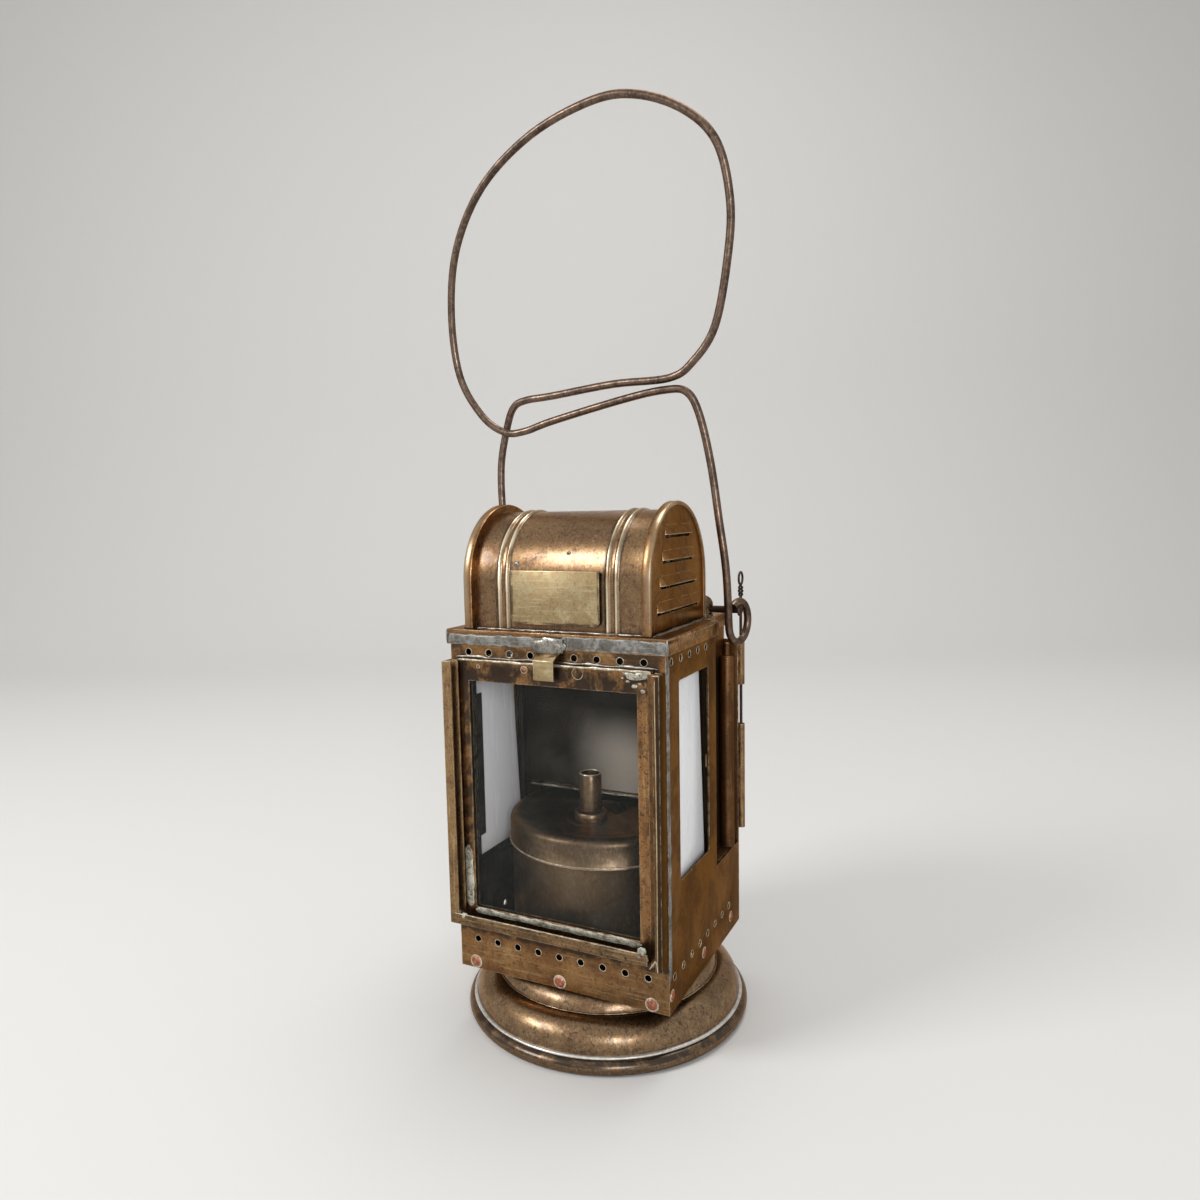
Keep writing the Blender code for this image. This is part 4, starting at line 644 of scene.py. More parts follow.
def dome(bm, centre, normal, radius, height, steps=20):
    """A flat-topped rivet head, raised on the face that the normal leaves."""
    normal = Vector(normal)
    turn = normal.to_track_quat("Z", "Y").to_matrix().to_4x4()
    place = Matrix.Translation(centre) @ turn
    rings = ((1.0, 0.0), (1.0, 0.35), (0.93, 0.70), (0.78, 0.93), (0.55, 1.0))
    previous = None
    for share, rise in rings:
        ring = [bm.verts.new(place @ Vector((radius * share * math.cos(math.tau * k / steps),
                                             radius * share * math.sin(math.tau * k / steps),
                                             height * rise))) for k in range(steps)]
        if previous:
            bmesh.ops.bridge_loops(bm, edges=ring_edges(bm, previous) + ring_edges(bm, ring))
        else:
            bm.faces.new(ring[::-1])
            ring_edges(bm, ring)
        previous = ring
    bm.faces.new(previous)


def level_line(left, right, y, z):
    """The two ends of a level line from left to right."""
    return [(left, y, z), (right, y, z)]


def solder_line(name, points, width, height, seed, look, out=(0, -1, 0), uneven=1.0):
    """An uneven bead of solder along a line: wide and high by turns, with tapered ends."""
    bm = bmesh.new()
    out = Vector(out)
    points = [Vector(p) for p in points]
    length = sum((b - a).length for a, b in zip(points, points[1:]))
    count = max(6, int(length / 0.0007))
    marks = smooth_run(points, max(1, count // (len(points) - 1))) if len(points) > 2 else [
        points[0].lerp(points[1], k / count) for k in range(count + 1)]
    previous = None
    for k, mark in enumerate(marks):
        along = (marks[min(k + 1, len(marks) - 1)] - marks[max(k - 1, 0)]).normalized()
        across = along.cross(out).normalized()
        lump = uneven * noise.noise(mark * 260 + Vector((seed, 0, 0)))
        drift = uneven * noise.noise(mark * 120 + Vector((0, seed, 0)))
        fade = min(1, (k + 0.4) / 3, (len(marks) - k - 0.6) / 3)
        wide = width / 2 * (1 + 0.7 * lump) * fade
        high = height * (1 + 0.6 * drift) * fade
        ring = [bm.verts.new(mark + across * (wide * math.cos(math.tau * a / 8) + drift * width * 0.25)
                             + out * high * math.sin(math.tau * a / 8)) for a in range(8)]
        if previous:
            bmesh.ops.bridge_loops(bm, edges=ring_edges(bm, previous) + ring_edges(bm, ring))
        else:
            ring_edges(bm, ring)
            bm.faces.new(ring[::-1])
        previous = ring
    bm.faces.new(previous)
    return finish(name, bm, look, smooth=80)


def add_burr(bm, centre, normal, radius, seed, steps=18):
    """The uneven bright lip that a punch leaves round a hole."""
    place = Matrix.Translation(centre) @ Vector(normal).to_track_quat("Z", "Y").to_matrix().to_4x4()
    rings = []
    for k in range(steps):
        angle = math.tau * k / steps
        thick = 0.00022 * (0.45 + 0.9 * abs(noise.noise(Vector((seed, angle * 0.8, 0)))))
        hub = Vector((math.cos(angle), math.sin(angle), 0))
        rings.append([bm.verts.new(place @ (hub * (radius + thick * math.cos(math.tau * a / 6))
                                            + Vector((0, 0, thick * math.sin(math.tau * a / 6)))))
                      for a in range(6)])
    for ring, following in zip(rings, rings[1:] + rings[:1]):
        bmesh.ops.bridge_loops(bm, edges=ring_edges(bm, ring) + ring_edges(bm, following))


def ring_edges(bm, ring):
    found = []
    for k in range(len(ring)):
        pair = (ring[k - 1], ring[k])
        found.append(bm.edges.get(pair) or bm.edges.new(pair))
    return found


# Foot

def make_foot():
    """Spun foot: flat top, full shoulder, a crease, and the wired round edge."""
    top = 0.0190
    outer = [(0.018, top), (0.0496, top)]
    outer += [(0.0508 + 0.0104 * math.sin(math.radians(a)), 0.0078 + 0.0112 * math.cos(math.radians(a)))
              for a in range(6, 91, 7)]
    bead = arc(0.0618, 0.0032, 0.0032, 100, -78, 18)
    under = [(0.0618 + 0.0006, 0.00002), (0.0610, 0.0), (0.0600, 0.0007)]
    sheet = 0.0011
    inner = [(0.0508 + (0.0104 - sheet) * math.sin(math.radians(a)),
              0.0078 - sheet * 0.3 + (0.0112 - sheet * 0.7) * math.cos(math.radians(a)))
             for a in range(90, 5, -7)]
    inner += [(0.0496, top - sheet), (0.018, top - sheet)]
    finish("foot", turned(outer + bead + under + inner, steps=128), "foot", nodes=("base_foot",), smooth=50)
    ring = turned(oval(0.0616, 0.0070, 0.0011, 0.0007, 10), steps=128)
    for vert in ring.verts:
        angle = math.atan2(vert.co.y, vert.co.x)
        vert.co.z += 0.00012 * noise.noise(Vector((angle * 7, 4.3, 0)))
    finish("foot_bead_seam", ring, "pale band", smooth=80)


def make_neck():
    """Collar between foot and casing, with a seam line at its foot."""
    low = 0.0193
    profile = [(0.0508, low), (0.0508, low + 0.0006), (0.0504, low + 0.0016), (0.0496, low + 0.0032),
               (0.0484, low + 0.0047), (0.0470, low + 0.0058), (0.0455, low + 0.0064),
               (0.0455, low + 0.0055), (0.0466, low + 0.0050), (0.0478, low + 0.0040),
               (0.0488, low + 0.0026), (0.0493, low)]
    finish("neck", turned(profile, steps=128), "foot", nodes=("neck_ring",))
    seam = turned(oval(0.0509, low + 0.0001, 0.0004, 0.0003, 8), steps=128)
    for vert in seam.verts:
        angle = math.atan2(vert.co.y, vert.co.x)
        vert.co.z += 0.00018 * noise.noise(Vector((angle * 6, 0.3, 0)))
        vert.co *= 1 + 0.0015 * noise.noise(Vector((angle * 9, 2.3, 0)))
    finish("neck_seam", seam, "foot", smooth=80)


# Casing

def hole_row(centres, level):
    return [circle(a, level, HOLE_RADIUS) for a in centres]


def make_front():
    """Front sheet with its window and both rows of punched holes."""
    loops = [rectangle(-RIGHT, CASE_BOTTOM, RIGHT, CASE_TOP), rectangle(-0.0396, 0.0560, 0.0396, 0.1577)]
    across = [(k - 4) * HOLE_PITCH for k in range(9)]
    loops += hole_row(across, LOW_ROW_Z) + hole_row(across, HIGH_ROW_Z)
    finish("front_sheet", plate(loops, "Y", FRONT, FRONT + SHEET), "front", nodes=("front_panel",))
    burrs = bmesh.new()
    for row, level in enumerate((LOW_ROW_Z, HIGH_ROW_Z)):
        for k, x in enumerate(across):
            add_burr(burrs, (x, FRONT, level), (0, -1, 0), HOLE_RADIUS, k * 1.7 + row * 31)
    finish("front_burrs", burrs, "burr", smooth=80)


def make_side(sign, label):
    """Side sheet with its window and holes, running on below to the rear."""
    outline = [(FRONT + 0.0012, CASE_BOTTOM), (REAR - 0.0012, CASE_BOTTOM), (REAR - 0.0012, SHELF_Z),
               (PARTITION_Y, SHELF_Z), (PARTITION_Y, CASE_TOP), (FRONT + 0.0012, CASE_TOP)]
    loops = [outline, rectangle(-0.033, 0.077, 0.003, 0.160, 0.0012)]
    start = FRONT + 0.0058
    loops += hole_row([start + k * HOLE_PITCH for k in range(8)], LOW_ROW_Z)
    loops += hole_row([start + k * HOLE_PITCH for k in range(5)], HIGH_ROW_Z)
    burrs = bmesh.new()
    for count, level, spread in ((8, LOW_ROW_Z, 2.3), (5, HIGH_ROW_Z, 3.3)):
        for k in range(count):
            centre = (sign * RIGHT, start + k * HOLE_PITCH, level)
            add_burr(burrs, centre, (sign, 0, 0), HOLE_RADIUS, k * spread)
    finish("side_burrs_" + label, burrs, "burr", smooth=80)
    edge = FRONT + 0.0016
    wander = ((-0.0002, 0.0400), (0, 0.0700), (0.0003, 0.1000), (-0.0002, 0.1350), (0.0002, 0.1716))
    marks = [(sign * RIGHT, edge + drift, z) for drift, z in wander]
    solder_line("corner_seam_" + label, marks, 0.0030, 0.0003, 12.0 + sign, "solder", out=(sign, 0, 0),
                uneven=0.6)
    ends = sorted((sign * (RIGHT - SHEET), sign * RIGHT))
    finish("side_sheet_" + label, plate(loops, "X", *ends), "side", nodes=("side_panel_" + label,))
    low, high = sorted((sign * (RIGHT - 0.0009), sign * (RIGHT - 0.0014)))
    tab = plate([[(0.0020, 0.1150), (0.0055, 0.1158), (0.0055, 0.1212), (0.0020, 0.1205)]], "X", low, high)
    finish("side_tab_" + label, tab, "guide")


def make_recess(sign, label):
    """Set-back wall of the rear corner with its folded ledge."""
    inner = RECESS_X - SHEET
    outline = [(inner, SHELF_Z - SHEET), (RIGHT - 0.0012, SHELF_Z - SHEET), (RIGHT - 0.0012, SHELF_Z),
               (RECESS_X, SHELF_Z), (RECESS_X, CASE_TOP), (inner, CASE_TOP)]
    outline = [(sign * x, z) for x, z in outline]
    finish("recess_wall_" + label + "_sheet", plate([outline], "Y", PARTITION_Y + GAP, REAR - 0.0012),
           "side", nodes=("recess_wall_" + label,))
    web = [(sign * x, z) for x, z in rectangle(inner, SHELF_Z - SHEET, RIGHT - SHEET + 0.0001, CASE_TOP)]
    finish("recess_front_" + label, plate([web], "Y", PARTITION_Y + GAP, PARTITION_Y + GAP + 0.0006), "side")
    profile = [(0, 0.1650), (0.0009, 0.1650), (0.0013, 0.1646), (0.0013, 0.1590), (0.0022, 0.1588)]
    profile += arc(0.0022, 0.1576, 0.0012, 90, 0, 5)
    profile += [(0.0034, 0.0663), (0, 0.0663)]
    x = sign * (RECESS_X + GAP + 0.0034)
    finish("column_" + label, turned(profile, (x, 0.0390), 32), "side", nodes=("rear_column_" + label,))


def make_inside():
    finish("reflector", plate([rectangle(-0.0488, 0.093, 0.0488, CASE_TOP)], "Y", PARTITION_Y - SHEET,
                              PARTITION_Y), "mirror", nodes=("reflector_wall",))
    fold = [(PARTITION_Y - SHEET, 0.0930), (PARTITION_Y - SHEET, 0.0952), (PARTITION_Y - 0.0016, 0.0945),
            (PARTITION_Y - 0.0021, 0.0934), (PARTITION_Y - 0.0021, 0.0930)]
    finish("reflector_fold", plate([fold], "X", -0.0485, 0.0485), "bronze")
    marks = level_line(-0.046, 0.046, PARTITION_Y - 0.0020, 0.0937)
    solder_line("reflector_seam", marks, 0.0009, 0.0003, 8.0, "crust")
    bm = bmesh.new()
    box(bm, (-0.0488, FRONT + 0.0012, CASE_BOTTOM), (0.0488, REAR - 0.0012, CASE_BOTTOM + SHEET))
    finish("floor_sheet", bm, "bronze", nodes=("case_floor",))


# Front window

def make_window():
    """Soldered frame with a stepped inner edge, and its clear pane."""
    back = FRONT - GAP
    front = back - 0.0028
    loops = [rectangle(-0.0449, 0.0501, 0.0449, 0.1663), rectangle(-0.0390, 0.0566, 0.0390, 0.1571)]
    bm = bmesh.new()
    add_plate(bm, loops, "Y", front, front + 0.0006)
    add_plate(bm, loops, "Y", back - 0.0006, back)
    rim = [rectangle(-0.0449, 0.0501, 0.0449, 0.1663), rectangle(-0.0413, 0.0543, 0.0413, 0.1594)]
    add_plate(bm, rim, "Y", front + 0.0006, back - 0.0006)
    soften(bm, 0.00012)
    finish("window_frame", bm, "frame", nodes=("front_frame",))
    marks = level_line(-0.0446, 0.0446, front - 0.0001, 0.1661)
    solder_line("frame_top_seam", marks, 0.0011, 0.0004, 3.0, "burr", uneven=0.8)
    marks = level_line(-0.0470, 0.0470, back - 0.0004, 0.1668)
    solder_line("frame_back_seam", marks, 0.0014, 0.0004, 4.0, "seam")
    marks = level_line(-0.0396, 0.0396, front, 0.0550)
    solder_line("frame_foot_seam", marks, 0.0026, 0.0002, 5.0, "crust", uneven=0.5)
    solder_line("frame_post_seam", [(-0.0420, front, 0.0560), (-0.0420, front, 0.0700),
                                    (-0.0422, front, 0.0840)], 0.0040, 0.0002, 6.0, "crust", uneven=0.5)
    lumps = bmesh.new()
    places = ((0.0352, 0.1618, 0.0006), (0.0381, 0.1601, 0.0009), (0.0404, 0.1612, 0.0005),
              (0.0416, 0.1583, 0.0008), (0.0330, 0.1630, 0.0004))
    for k, (x, z, size) in enumerate(places):
        blob(lumps, (x, front, z), (size * 1.5, size * 0.5, size), 40 + k * 2.7)
    finish("frame_corner_lumps", lumps, "crust", smooth=80)
    crust = [(x, front, z) for x, z in ((0.0330, 0.1652), (0.0380, 0.1640), (0.0425, 0.1645),
                                        (0.0449, 0.1655))]
    solder_line("frame_corner_crust", crust, 0.0022, 0.0003, 7.0, "crust", uneven=1.3)
    middle = (front + back) / 2
    bm = bmesh.new()
    box(bm, (-0.0410, middle - 0.0006, 0.0546), (0.0410, middle + 0.0006, 0.1591))
    soften(bm, 0.0001, 1)
    finish("window_pane", bm, "glass", nodes=("front_glass",))


def make_guide(sign, label):
    """Folded upright guide: back lip, inner lip and outer lip on one wall, with a fold bead drawn at the
    right one's foot.
    """
    back, outer, inner, thick = FRONT - GAP, FRONT - 0.0074, FRONT - 0.0042, 0.0008
    wall = RIGHT - thick
    lip = 0.0046 if sign < 0 else 0.0030
    outline = [(RIGHT, back), (RIGHT, outer), (RIGHT - lip, outer), (RIGHT - lip, outer + thick),
               (wall, outer + thick), (wall, inner), (RIGHT - 0.0061, inner),
               (RIGHT - 0.0061, inner + thick), (wall, inner + thick), (wall, back - thick),
               (RIGHT - 0.0048, back - thick), (RIGHT - 0.0048, back)]
    outline = [(sign * x, y) for x, y in outline]
    bm = plate([outline], "Z", 0.0536 if sign < 0 else 0.0476, 0.1655, 0.00018)
    # The right guide takes the darker copy: painted shade.
    finish("guide_strip_" + label, bm, "guide" if sign < 0 else "guide shaded", nodes=("guide_" + label,))
    lip_top = [(sign * (RIGHT - lip), outer, 0.1655), (sign * RIGHT, outer, 0.1655)]
    solder_line("guide_top_seam_" + label, lip_top, 0.0008, 0.0003, 31.0 + sign, "burr", out=(0, 0, 1))
    if sign > 0:
        ridge = [(0.0480, outer, 0.0510), (0.0483, outer, 0.1000), (0.0481, outer, 0.1640)]
        solder_line("guide_ridge", ridge, 0.0006, 0.0003, 33.0, "plate", uneven=0.25)
        fold = [(x, outer, z) for x, z in ((0.0446, 0.0482), (0.0462, 0.0505), (0.0472, 0.0518),
                                           (0.0478, 0.0500), (0.0480, 0.0474))]
        solder_line("guide_foot_fold", fold, 0.0009, 0.0003, 34.0, "burr", uneven=0.5)


def make_sill():
    """Folded sill channel with beads of old solder at both ends."""
    back, outer, thick = FRONT - GAP, FRONT - 0.0074, 0.0008
    low = 0.0490
    outline = [(back, low), (back, low + thick), (outer + thick, low + thick), (outer + thick, low + 0.0046),
               (outer, low + 0.0046), (outer, low)]
    bm = plate([outline], "X", -0.0500, 0.0436, 0.00015)
    finish("sill_channel", bm, "sill", nodes=("sill",))
    lumps = bmesh.new()
    places = ((0.0412, 0.0545, 0.0016), (0.0400, 0.0525, 0.0013), (0.0425, 0.0518, 0.0011),
              (-0.0428, 0.0528, 0.0014), (-0.0440, 0.0515, 0.0010))
    for k, (x, z, size) in enumerate(places):
        blob(lumps, (x, outer + 0.0006, z), (size * 1.3, size * 0.5, size * 1.2), k * 3.1, 3)
    finish("sill_lumps", lumps, "crust", smooth=80)
    marks = level_line(-0.0500, 0.0436, outer + 0.0004, low + 0.0046)
    solder_line("sill_lip_seam", marks, 0.0008, 0.0002, 9.0, "burr", out=(0, 0, 1))
    marks = level_line(-0.0420, 0.0420, outer + 0.0030, low + 0.0010)
    solder_line("sill_floor_seam", marks, 0.0020, 0.0004, 10.0, "crust", out=(0, 0, 1))


def make_catch():
    """Soldered root strip and the sprung tongue with its rolled fold."""
    y, z = FRONT - 0.0015, 0.1711
    bm = bmesh.new()
    box(bm, (-0.0074, y - 0.0008, z), (0.0062, y, z + 0.0058))
    soften(bm, 0.0002)
    finish("catch_strip", bm, "solder", nodes=("catch_root",))
    lumps = bmesh.new()
    made = bmesh.ops.create_icosphere(lumps, subdivisions=5, radius=1)["verts"]
    for vert in made:
        lump = 1 + 0.16 * noise.noise(vert.co * 1.9) + 0.05 * noise.noise(vert.co * 5.0)
        vert.co = Vector((-0.0006 + 0.0080 * vert.co.x * lump, y - 0.0004 + 0.0009 * vert.co.y * lump,
                          0.1735 + 0.0038 * vert.co.z * lump))
    finish("catch_solder", lumps, "seam", smooth=80)
    top = z - GAP
    thick = 0.0008
    outline = [(y, top), (y - thick, top), (y - 0.0046, top - 0.0019), (y - 0.0052, top - 0.0026),
               (y - 0.0052, top - 0.0098), (y - 0.0049, top - 0.0108), (y - 0.0041, top - 0.0108),
               (y - 0.0044, top - 0.0098), (y - 0.0044, top - 0.0030), (y - 0.0040, top - 0.0027),
               (y, top - thick)]
    bm = plate([outline], "X", -0.0053, 0.0041, 0.0002)
    finish("catch_spring", bm, "plate", body="catch", nodes=("catch_tongue",))


# Side windows

def make_pane(sign, label):
    """Opal pane in its grooved rail."""
    front, rear = -0.0366, 0.0050
    outer = RIGHT - 0.0012
    loops = [[(front - 0.0020, 0.0702), (rear + 0.0020, 0.0702), (rear + 0.0020, 0.1650),
              (rear - 0.0012, 0.1650), (rear - 0.0012, 0.0734), (front + 0.0012, 0.0734),
              (front + 0.0012, 0.1650), (front - 0.0020, 0.1650)]]
    web = [[(front - 0.0020, 0.0702), (rear + 0.0020, 0.0702), (rear + 0.0020, 0.1650),
            (rear + 0.0003, 0.1650), (rear + 0.0003, 0.0719), (front - 0.0003, 0.0719),
            (front - 0.0003, 0.1650), (front - 0.0020, 0.1650)]]
    bm = bmesh.new()
    for levels, shape in (((outer - 0.0006, outer), loops), ((outer - 0.0030, outer - 0.0006), web),
                          ((outer - 0.0036, outer - 0.0030), loops)):
        add_plate(bm, shape, "X", *sorted((sign * levels[0], sign * levels[1])))
    soften(bm, 0.0001, 1)
    # Near-black rails: painted shade.
    finish("rail_" + label, bm, "shade black", nodes=("pane_rail_" + label,))
    bm = bmesh.new()
    low, high = sorted((sign * (outer - 0.0037), sign * (outer - 0.0043)))
    box(bm, (low, front - 0.0015, 0.0830), (high, front + 0.0042, 0.1480))
    soften(bm, 0.0001)
    finish("pane_spring_" + label, bm, "inner")
    bm = bmesh.new()
    near = outer - 0.0009
    low, high = sorted((sign * near, sign * (near - 0.0018)))
    for vert in box(bm, (low, front, 0.0722), (high, rear, 0.1635)):
        if vert.co.y > 0:
            vert.co.y -= 0.0028 + (0.0062 if vert.co.z > 0.1 else 0)
    soften(bm, 0.0002)
    finish("opal_" + label, bm, "opal", nodes=("opal_pane_" + label,))


# Rear

def make_rear():
    """Rear frame with fixed knuckles, and door with a pressed field and its own knuckles."""
    outline = [(-RIGHT, CASE_BOTTOM), (RIGHT, CASE_BOTTOM), (RIGHT, 0.1656), (RECESS_X, 0.1656),
               (RECESS_X, CASE_TOP), (-RECESS_X, CASE_TOP), (-RECESS_X, 0.1656), (-RIGHT, 0.1656)]
    loops = [outline, rectangle(-0.041, 0.034, 0.041, 0.160, 0.0010)]
    finish("rear_sheet", plate(loops, "Y", REAR - SHEET, REAR), "side", nodes=("rear_frame",))
    edges = (0.0725, 0.0874, 0.1032, 0.1243, 0.1434, 0.1650)
    for name, spans, body in (("fixed_knuckles", ((1, 2), (4, 5)), "casing"),
                              ("door_knuckles", ((0, 1), (2, 3)), "door")):
        bm = bmesh.new()
        for first, last in spans:
            add_knuckle(bm, edges[first] + 0.00015, edges[last] - 0.00015, body == "door")
        finish(name, bm, "guide", body=body)
    left = -RIGHT - 0.0012
    right = HINGE_X - 0.00235
    y = REAR + GAP
    bm = bmesh.new()
    add_plate(bm, [rectangle(left, 0.0275, right, 0.1650)], "Y", y, y + SHEET)
    soften(bm, 0.00015)
    box(bm, (left, REAR - 0.0060, 0.0293), (left + SHEET, y + SHEET / 2, 0.1632))
    field = box(bm, (left + 0.010, y + SHEET / 2, 0.0375), (right - 0.010, y + SHEET + 0.0010, 0.1550))
    outer = [v for v in field if v.co.y > y + SHEET]
    middle = Vector(((left + right) / 2, 0, 0.09625))
    for vert in outer:
        vert.co.x += 0.002 if vert.co.x < middle.x else -0.002
        vert.co.z += 0.002 if vert.co.z < middle.z else -0.002
    finish("door_leaf", bm, "side", body="door", nodes=("rear_door",))


def add_knuckle(bm, low, high, swings):
    """A rolled tube round the pin with the strip that it grows from."""
    outer, bore, steps = 0.00175, 0.00145, 20
    start = math.radians(-90)
    made = []
    for radius in (outer, bore):
        made.append([(HINGE_X + radius * math.cos(start + math.tau * k / steps),
                      HINGE_Y + radius * math.sin(start + math.tau * k / steps)) for k in range(steps)])
    add_plate(bm, made, "Z", low, high)
    if swings:
        box(bm, (HINGE_X - 0.0030, REAR + GAP, low), (HINGE_X - 0.0003, REAR + GAP + 0.0004, high))
    else:
        box(bm, (HINGE_X - 0.0016, REAR - 0.0003, low), (HINGE_X - 0.0003, HINGE_Y - 0.0010, high))


def make_pin():
    """Doubled wire with a twist and a finger ring."""
    wire_radius, spread, out_most = 0.00055, 0.00060, 0.00088
    points = [Vector((0, -spread, 0.0740)), Vector((0, -spread, 0.1856))]
    first, second = [], []
    for step in range(25):
        share = step / 24
        turn = math.tau * share * 1.5
        out = spread + (out_most - spread) * math.sin(math.pi * share)
        z = 0.1862 + 0.0050 * share
        first.append(Vector((-out * math.sin(turn), -out * math.cos(turn), z)))
        second.append(Vector((out * math.sin(turn), out * math.cos(turn), z)))
    points += first
    opening = math.asin(0.32)
    centre = 0.1912 + 0.0030 * math.cos(opening) + 0.00052
    for step in range(33):
        swing = opening + (math.tau - 2 * opening) * step / 32
        points.append(Vector((0, 0.0030 * math.sin(swing), centre - 0.0030 * math.cos(swing))))
    points += second[::-1] + [Vector((0, spread, 0.1856)), Vector((0, spread, 0.0740))]
    shift = Vector((HINGE_X, HINGE_Y, 0))
    wire("door_pin", [p + shift for p in points], wire_radius, "pin", "hinge_pin", ("hinge_pin",), 3)


# Cover and roof

def cover_outline(inset):
    wide, narrow = RIGHT + 0.0012 - inset, RECESS_X + 0.0012 - inset
    front, rear, wing = FRONT - 0.0012 + inset, REAR + 0.0012 - inset, PARTITION_Y + 0.0012 - inset
    corner = 0.0004
    half = [(wide, front), (wide, wing - corner), (wide - corner, wing), (narrow, wing), (narrow, rear)]
    return half + [(-x, y) for x, y in half[::-1]]


def make_cover():
    """Cover sheet with its turned-down lip, and beads of solder round its front."""
    bm = bmesh.new()
    vent = rectangle(-0.030, ROOF_Y - 0.020, 0.030, ROOF_Y + 0.020)
    add_plate(bm, [cover_outline(0), vent], "Z", COVER_TOP - SHEET, COVER_TOP)
    add_plate(bm, [cover_outline(0), cover_outline(SHEET)], "Z", COVER_TOP - 0.0065, COVER_TOP - SHEET)
    bmesh.ops.remove_doubles(bm, verts=bm.verts, dist=0.00001)
    soften(bm, 0.00018)
    finish("cover_sheet", bm, "lip", nodes=("top_cover",))
    front = FRONT - 0.0012
    low = COVER_TOP - 0.0065
    marks = [(-0.0508, front, low + 0.0022), (-0.0300, front, low + 0.0024), (-0.0070, front, low + 0.0027)]
    solder_line("cover_front_seam_left", marks, 0.0042, 0.0002, 21.0, "solder", uneven=0.35)
    marks = [(0.0040, front, low + 0.0029), (0.0250, front, low + 0.0030), (0.0430, front, low + 0.0029),
             (0.0510, front, low + 0.0026)]
    solder_line("cover_front_seam_right", marks, 0.0052, 0.0002, 28.0, "solder", uneven=0.25)
    marks = level_line(-0.0400, 0.0400, ROOF_Y - ROOF_RADIUS - 0.0009, ROOF_BOTTOM)
    solder_line("cover_roof_seam", marks, 0.0012, 0.0004, 22.0, "seam", out=(0, -0.7, 0.7))
    for sign, label in SIDES:
        marks = [(sign * 0.0511, front + 0.0001, z) for z in (low, COVER_TOP)]
        solder_line("cover_corner_" + label, marks, 0.0014, 0.0004, 23.0 + sign, "solder",
                    out=(sign * 0.7, -0.7, 0))
        marks = [(sign * 0.0442, ROOF_Y + y, ROOF_BOTTOM) for y in (-0.0320, 0.0320)]
        solder_line("cap_foot_" + label, marks, 0.0014, 0.0004, 25.0 + sign, "seam",
                    out=(sign * 0.7, 0, 0.7))


def arch(radius, bottom, steps, grow=0.0):
    points = [(ROOF_Y - radius - grow, bottom)]
    for step in range(steps + 1):
        angle = math.pi * step / steps
        reach = radius + grow
        points.append((ROOF_Y - reach * math.cos(angle), ROOF_SPRING + reach * math.sin(angle)))
    points.append((ROOF_Y + radius + grow, bottom))
    return points


def make_roof():
    """Barrel sheet with two pairs of pressed round ribs."""
    bm = bmesh.new()
    stations = [(-0.0398, 0.0)]
    for centre in (-0.0273, -0.0234, 0.0234, 0.0273):
        for k in range(-6, 7):
            share = k / 6
            stations.append((centre + share * 0.00135, 0.00095 * (0.5 + 0.5 * math.cos(share * math.pi))))
    stations.append((0.0398, 0.0))
    steps = 48
    outer_rings, inner_rings = [], []
    for x, rise in stations:
        outer_rings.append([bm.verts.new((x, y, z)) for y, z in arch(ROOF_RADIUS, ROOF_BOTTOM, steps, rise)])
    for x, rise in stations:
        inner_rings.append([bm.verts.new((x, y, z))
                            for y, z in arch(ROOF_RADIUS - SHEET, ROOF_BOTTOM, steps, rise)])
    for rings in (outer_rings, inner_rings):
        for ring, following in zip(rings, rings[1:]):
            bmesh.ops.bridge_loops(bm, edges=line_edges(bm, ring) + line_edges(bm, following))
    for end in (0, -1):
        bmesh.ops.bridge_loops(bm, edges=line_edges(bm, outer_rings[end]) + line_edges(bm, inner_rings[end]))
    for side in (0, -1):
        outer = [ring[side] for ring in outer_rings]
        inner = [ring[side] for ring in inner_rings]
        bmesh.ops.bridge_loops(bm, edges=line_edges(bm, outer) + line_edges(bm, inner))
    barrel = finish("barrel", bm, "roof", nodes=("roof_barrel",), smooth=50)

    # Painted highlight along the crests of the ribs, partly wear.
    def rib_highlight(place):
        near = min(abs(abs(place.x) - 0.0234), abs(abs(place.x) - 0.0273))
        return 1.5 * max(0.0, 1 - near / 0.0012)

    paint_wear_and_highlight(barrel, rib_highlight)


def line_edges(bm, verts):
    return [bm.edges.get(pair) or bm.edges.new(pair) for pair in zip(verts, verts[1:])]


